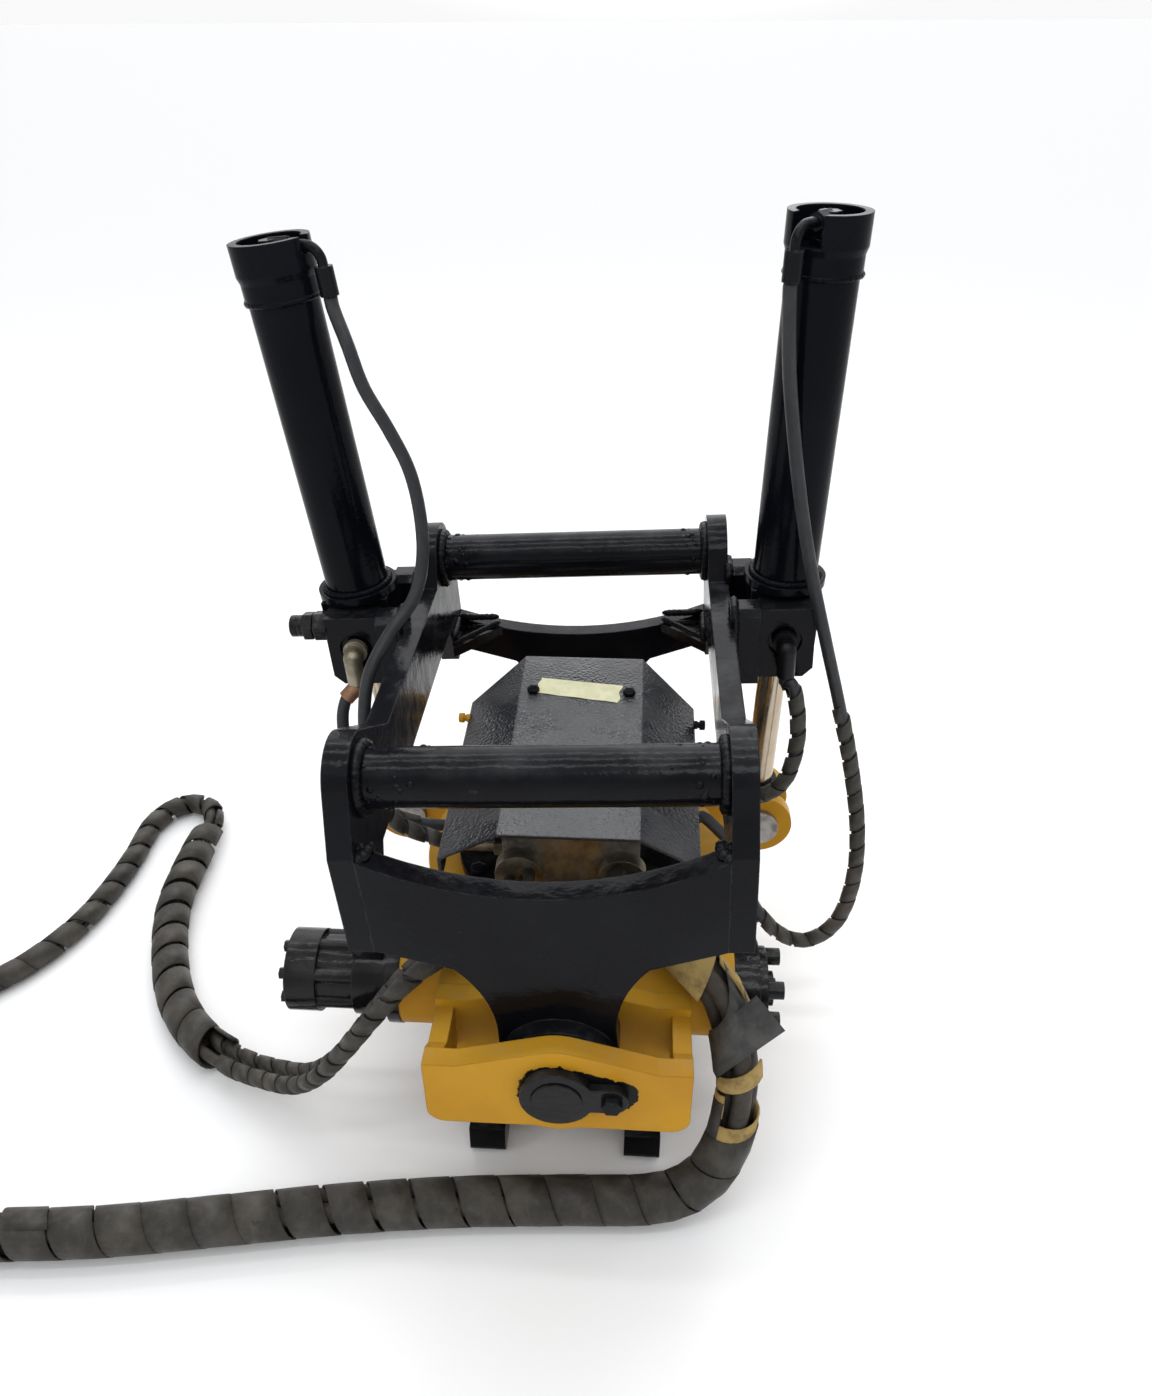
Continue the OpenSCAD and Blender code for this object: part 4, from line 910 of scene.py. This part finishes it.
def pin_spatter():
    """Weld spatter near the ends of the cross pins."""
    drops, seat, end = 90, 29.6, 171
    mesh = Mesh()
    for y in CROSS_PINS_Y:
        for _ in range(drops):
            side = random.choice(SIDES)
            x = side * (end - abs(random.gauss(0, 22)))
            a = random.uniform(0, 2 * math.pi)
            out = on_hitch(0, y + math.cos(a), math.sin(a)) - on_hitch(0, y, 0)
            r = random.uniform(0.8, 2.8)
            foot = on_hitch(x, y + seat * math.cos(a), CROSS_PIN_Z + seat * math.sin(a))
            mesh.lathe(foot, out, [(0, r * 1.6), (r * 0.4, r * 1.3), (r * 0.75, r * 0.7),
                                   (r * 0.85, r * 0.15)], 9)
    mesh.add("pin_spatter", BLACK, "black_paint", "hitch")


hitch_welds()
cylinder_welds(LEFT, "left_cylinder")
cylinder_welds(RIGHT, "right_cylinder")
pin_spatter()

# Small pieces

# Corners of the tape in pixels of the frame, clockwise from the upper left
TAPE_CORNERS = ((541, 678), (622, 686), (618, 703), (537, 693))
TAPE_ACROSS, TAPE_DOWN = 28, 8


def tape_strip():
    """Blank strip of tape on the cover, with torn ends."""
    a, b, c, d = TAPE_CORNERS
    verts, faces = [], []
    for j in range(TAPE_DOWN + 1):
        for i in range(TAPE_ACROSS + 1):
            u, v = i / TAPE_ACROSS, j / TAPE_DOWN
            ragged = 1.3 * math.sin(9 * v + 1) * (0 if 0 < i < TAPE_ACROSS else 1)
            px, py = ((1 - v) * ((1 - u) * a[n] + u * b[n]) + v * ((1 - u) * d[n] + u * c[n])
                      for n in (0, 1))
            place, normal = seen_at("cover", px + ragged, py)
            crease = 0.0003 * math.sin(17 * u + 3) * math.sin(5 * v)
            verts.append(place + normal * (0.0006 + crease))
    row = TAPE_ACROSS + 1
    for j in range(TAPE_DOWN):
        for i in range(TAPE_ACROSS):
            k = j * row + i
            faces.append((k + row, k + row + 1, k + 1, k))
    add_piece("tape_strip", verts, faces, TAPE, "housing")


def lip_fastener(name, mat, slot, px, py, x, out):
    """Plug or bolt in one of the cover's lips, below the edge seen at a pixel of the frame."""
    place, _ = seen_at("cover", px, py)
    mesh = Mesh()
    mesh.lathe((x - out * 0.002, place.y, place.z - 0.010), (out, 0, 0),
               [(0, 5.5), (5, 5.5), (5.5, 4.2), (8, 4.2), (8, 6.5), (14, 6.5), (15, 5.5)], 16)
    mesh.add(name, mat, slot, "housing", smooth=False)


def port_ferrule(path):
    """The tan ferrule at the top of the left port's hose."""
    mesh = Mesh()
    mesh.lathe(path[1], path[5] - path[1], [(0, 9.2), (0.5, 10.2), (22, 10.2), (22.5, 9.0)], 20)
    mesh.add("left_port_ferrule", COPPER, "plated", "hitch", smooth=False)


def valve_cartridge():
    """Two hexes and a round cap, as wide as the photo shows them."""
    mesh = Mesh()
    foot = on_hitch(-VALVE[0], VALVE[1], VALVE[2])
    for sides, profile in (
        (6, [(-2, 19), (15, 19), (15.6, 18), (15.6, 13.5), (18, 13.5)]),
        (6, [(17, 17.5), (17.6, 18), (29, 18), (29.6, 17), (29.6, 12), (31, 12)]),
        (28, [(30, 13), (31, 13.6), (36, 13.6), (36.6, 12.8), (38, 12.8), (38.6, 13.6),
              (45, 13.6), (46, 12.5), (46, 5), (44.5, 4.5)]),
    ):
        mesh.lathe(foot, -HITCH_ACROSS, profile, sides)
    valve = mesh.add("valve_cartridge", CAST, "black_paint", "hitch", smooth=False)
    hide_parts("cartridge_valve")


tape_strip()
cover_low, cover_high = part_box("cover")
lip_fastener("lip_plug", YELLOW, "yellow_paint", 480, 712, cover_low[0], LEFT)
lip_fastener("lip_bolt", BLACK, "black_paint", 674, 718, cover_high[0], RIGHT)
port_ferrule(tilt_tubes["left_port"][0])
valve_cartridge()

# Floor and light

FLOOR_HALF, FLOOR_Z = 90, -0.001
FLOOR_COLOR = (0.97, 0.97, 0.97, 1)
# The sky by height, and a bright soft wall behind: upward faces show it, faces turned to the
# camera don't
SKY = ((0.03, (0.95, 0.95, 0.955, 1)), (0.30, (0.50, 0.502, 0.508, 1)))
WALL_TOWARDS = (0, 0.78, 0.626)
WALL_SPAN = (0.76, 0.97)
WALL_GAIN = 5.2
LAMP_COLOR = (0.96, 0.98, 1.0)
# name, place, aim, size, power
LAMPS = (
    ("tube_front", (0.1, -0.75, 2.6), (0, -0.2, 0.4), (2.4, 0.08), 9),
    ("tube_middle", (0.0, 0.15, 2.7), (0, 0, 0.4), (2.6, 0.08), 9),
    ("tube_rear", (-0.1, 1.2, 2.6), (0, 0.2, 0.4), (2.6, 0.08), 9),
    ("window", (-2.3, -1.6, 1.7), (0, 0, 0.4), (0.25, 1.7), 6),
    ("front", (0.5, -1.9, 2.5), (0, -0.2, 0.3), (1.2, 0.5), 8),
    ("side", (2.4, 0.2, 1.9), (0, 0, 0.5), (0.15, 1.6), 4.5),
)
SUN_POWER = 0.45
SUN_ANGLE = math.radians(70)
SUN_TURN = (math.radians(12), math.radians(-10), 0)


def make_floor():
    corners = [(FLOOR_HALF * x, FLOOR_HALF * y, FLOOR_Z)
               for x, y in ((-1, -1), (1, -1), (1, 1), (-1, 1))]
    mat = bpy.data.materials.new("floor_paper")
    mat.use_nodes = True
    shader = mat.node_tree.nodes["Principled BSDF"]
    shader.inputs["Base Color"].default_value = FLOOR_COLOR
    shader.inputs["Roughness"].default_value = 0.9
    shader.inputs["Specular IOR Level"].default_value = 0.1
    new_object("floor", corners, [(0, 1, 2, 3)], mat, smooth=False)


def make_world():
    world = bpy.data.worlds.new("studio")
    bpy.context.scene.world = world
    world.use_nodes = True
    tree = world.node_tree
    background = tree.nodes["Background"]
    towards = tree.nodes.new("ShaderNodeTexCoord").outputs["Generated"]
    split = tree.nodes.new("ShaderNodeSeparateXYZ")
    tree.links.new(towards, split.inputs[0])
    ramp = tree.nodes.new("ShaderNodeValToRGB")
    for element, (position, color) in zip(ramp.color_ramp.elements, SKY):
        element.position = position
        element.color = color
    tree.links.new(split.outputs["Z"], ramp.inputs["Fac"])
    tree.links.new(ramp.outputs["Color"], background.inputs["Color"])
    wall = tree.nodes.new("ShaderNodeVectorMath")
    wall.operation = "DOT_PRODUCT"
    wall.inputs[1].default_value = WALL_TOWARDS
    tree.links.new(towards, wall.inputs[0])
    near = tree.nodes.new("ShaderNodeMapRange")
    near.interpolation_type = "SMOOTHSTEP"
    for key, value in (("From Min", WALL_SPAN[0]), ("From Max", WALL_SPAN[1]),
                       ("To Min", 1.0), ("To Max", WALL_GAIN)):
        near.inputs[key].default_value = value
    tree.links.new(wall.outputs["Value"], near.inputs["Value"])
    tree.links.new(near.outputs["Result"], background.inputs["Strength"])


def make_lamps():
    for name, place, aim, size, power in LAMPS:
        light = bpy.data.lights.new(name, "AREA")
        light.shape = "RECTANGLE"
        light.size, light.size_y = size
        light.energy = power
        light.color = LAMP_COLOR
        lamp = bpy.data.objects.new(name, light)
        lamp.location = place
        lamp.rotation_euler = (Vector(aim) - Vector(place)).to_track_quat("-Z", "Y").to_euler()
        bpy.context.scene.collection.objects.link(lamp)
    sun = bpy.data.lights.new("sky", "SUN")
    sun.energy = SUN_POWER
    sun.angle = SUN_ANGLE
    lamp = bpy.data.objects.new("sky", sun)
    lamp.rotation_euler = SUN_TURN
    bpy.context.scene.collection.objects.link(lamp)


make_floor()
make_world()
make_lamps()
bpy.context.scene.view_settings.view_transform = "Standard"

bpy.context.view_layer.update()
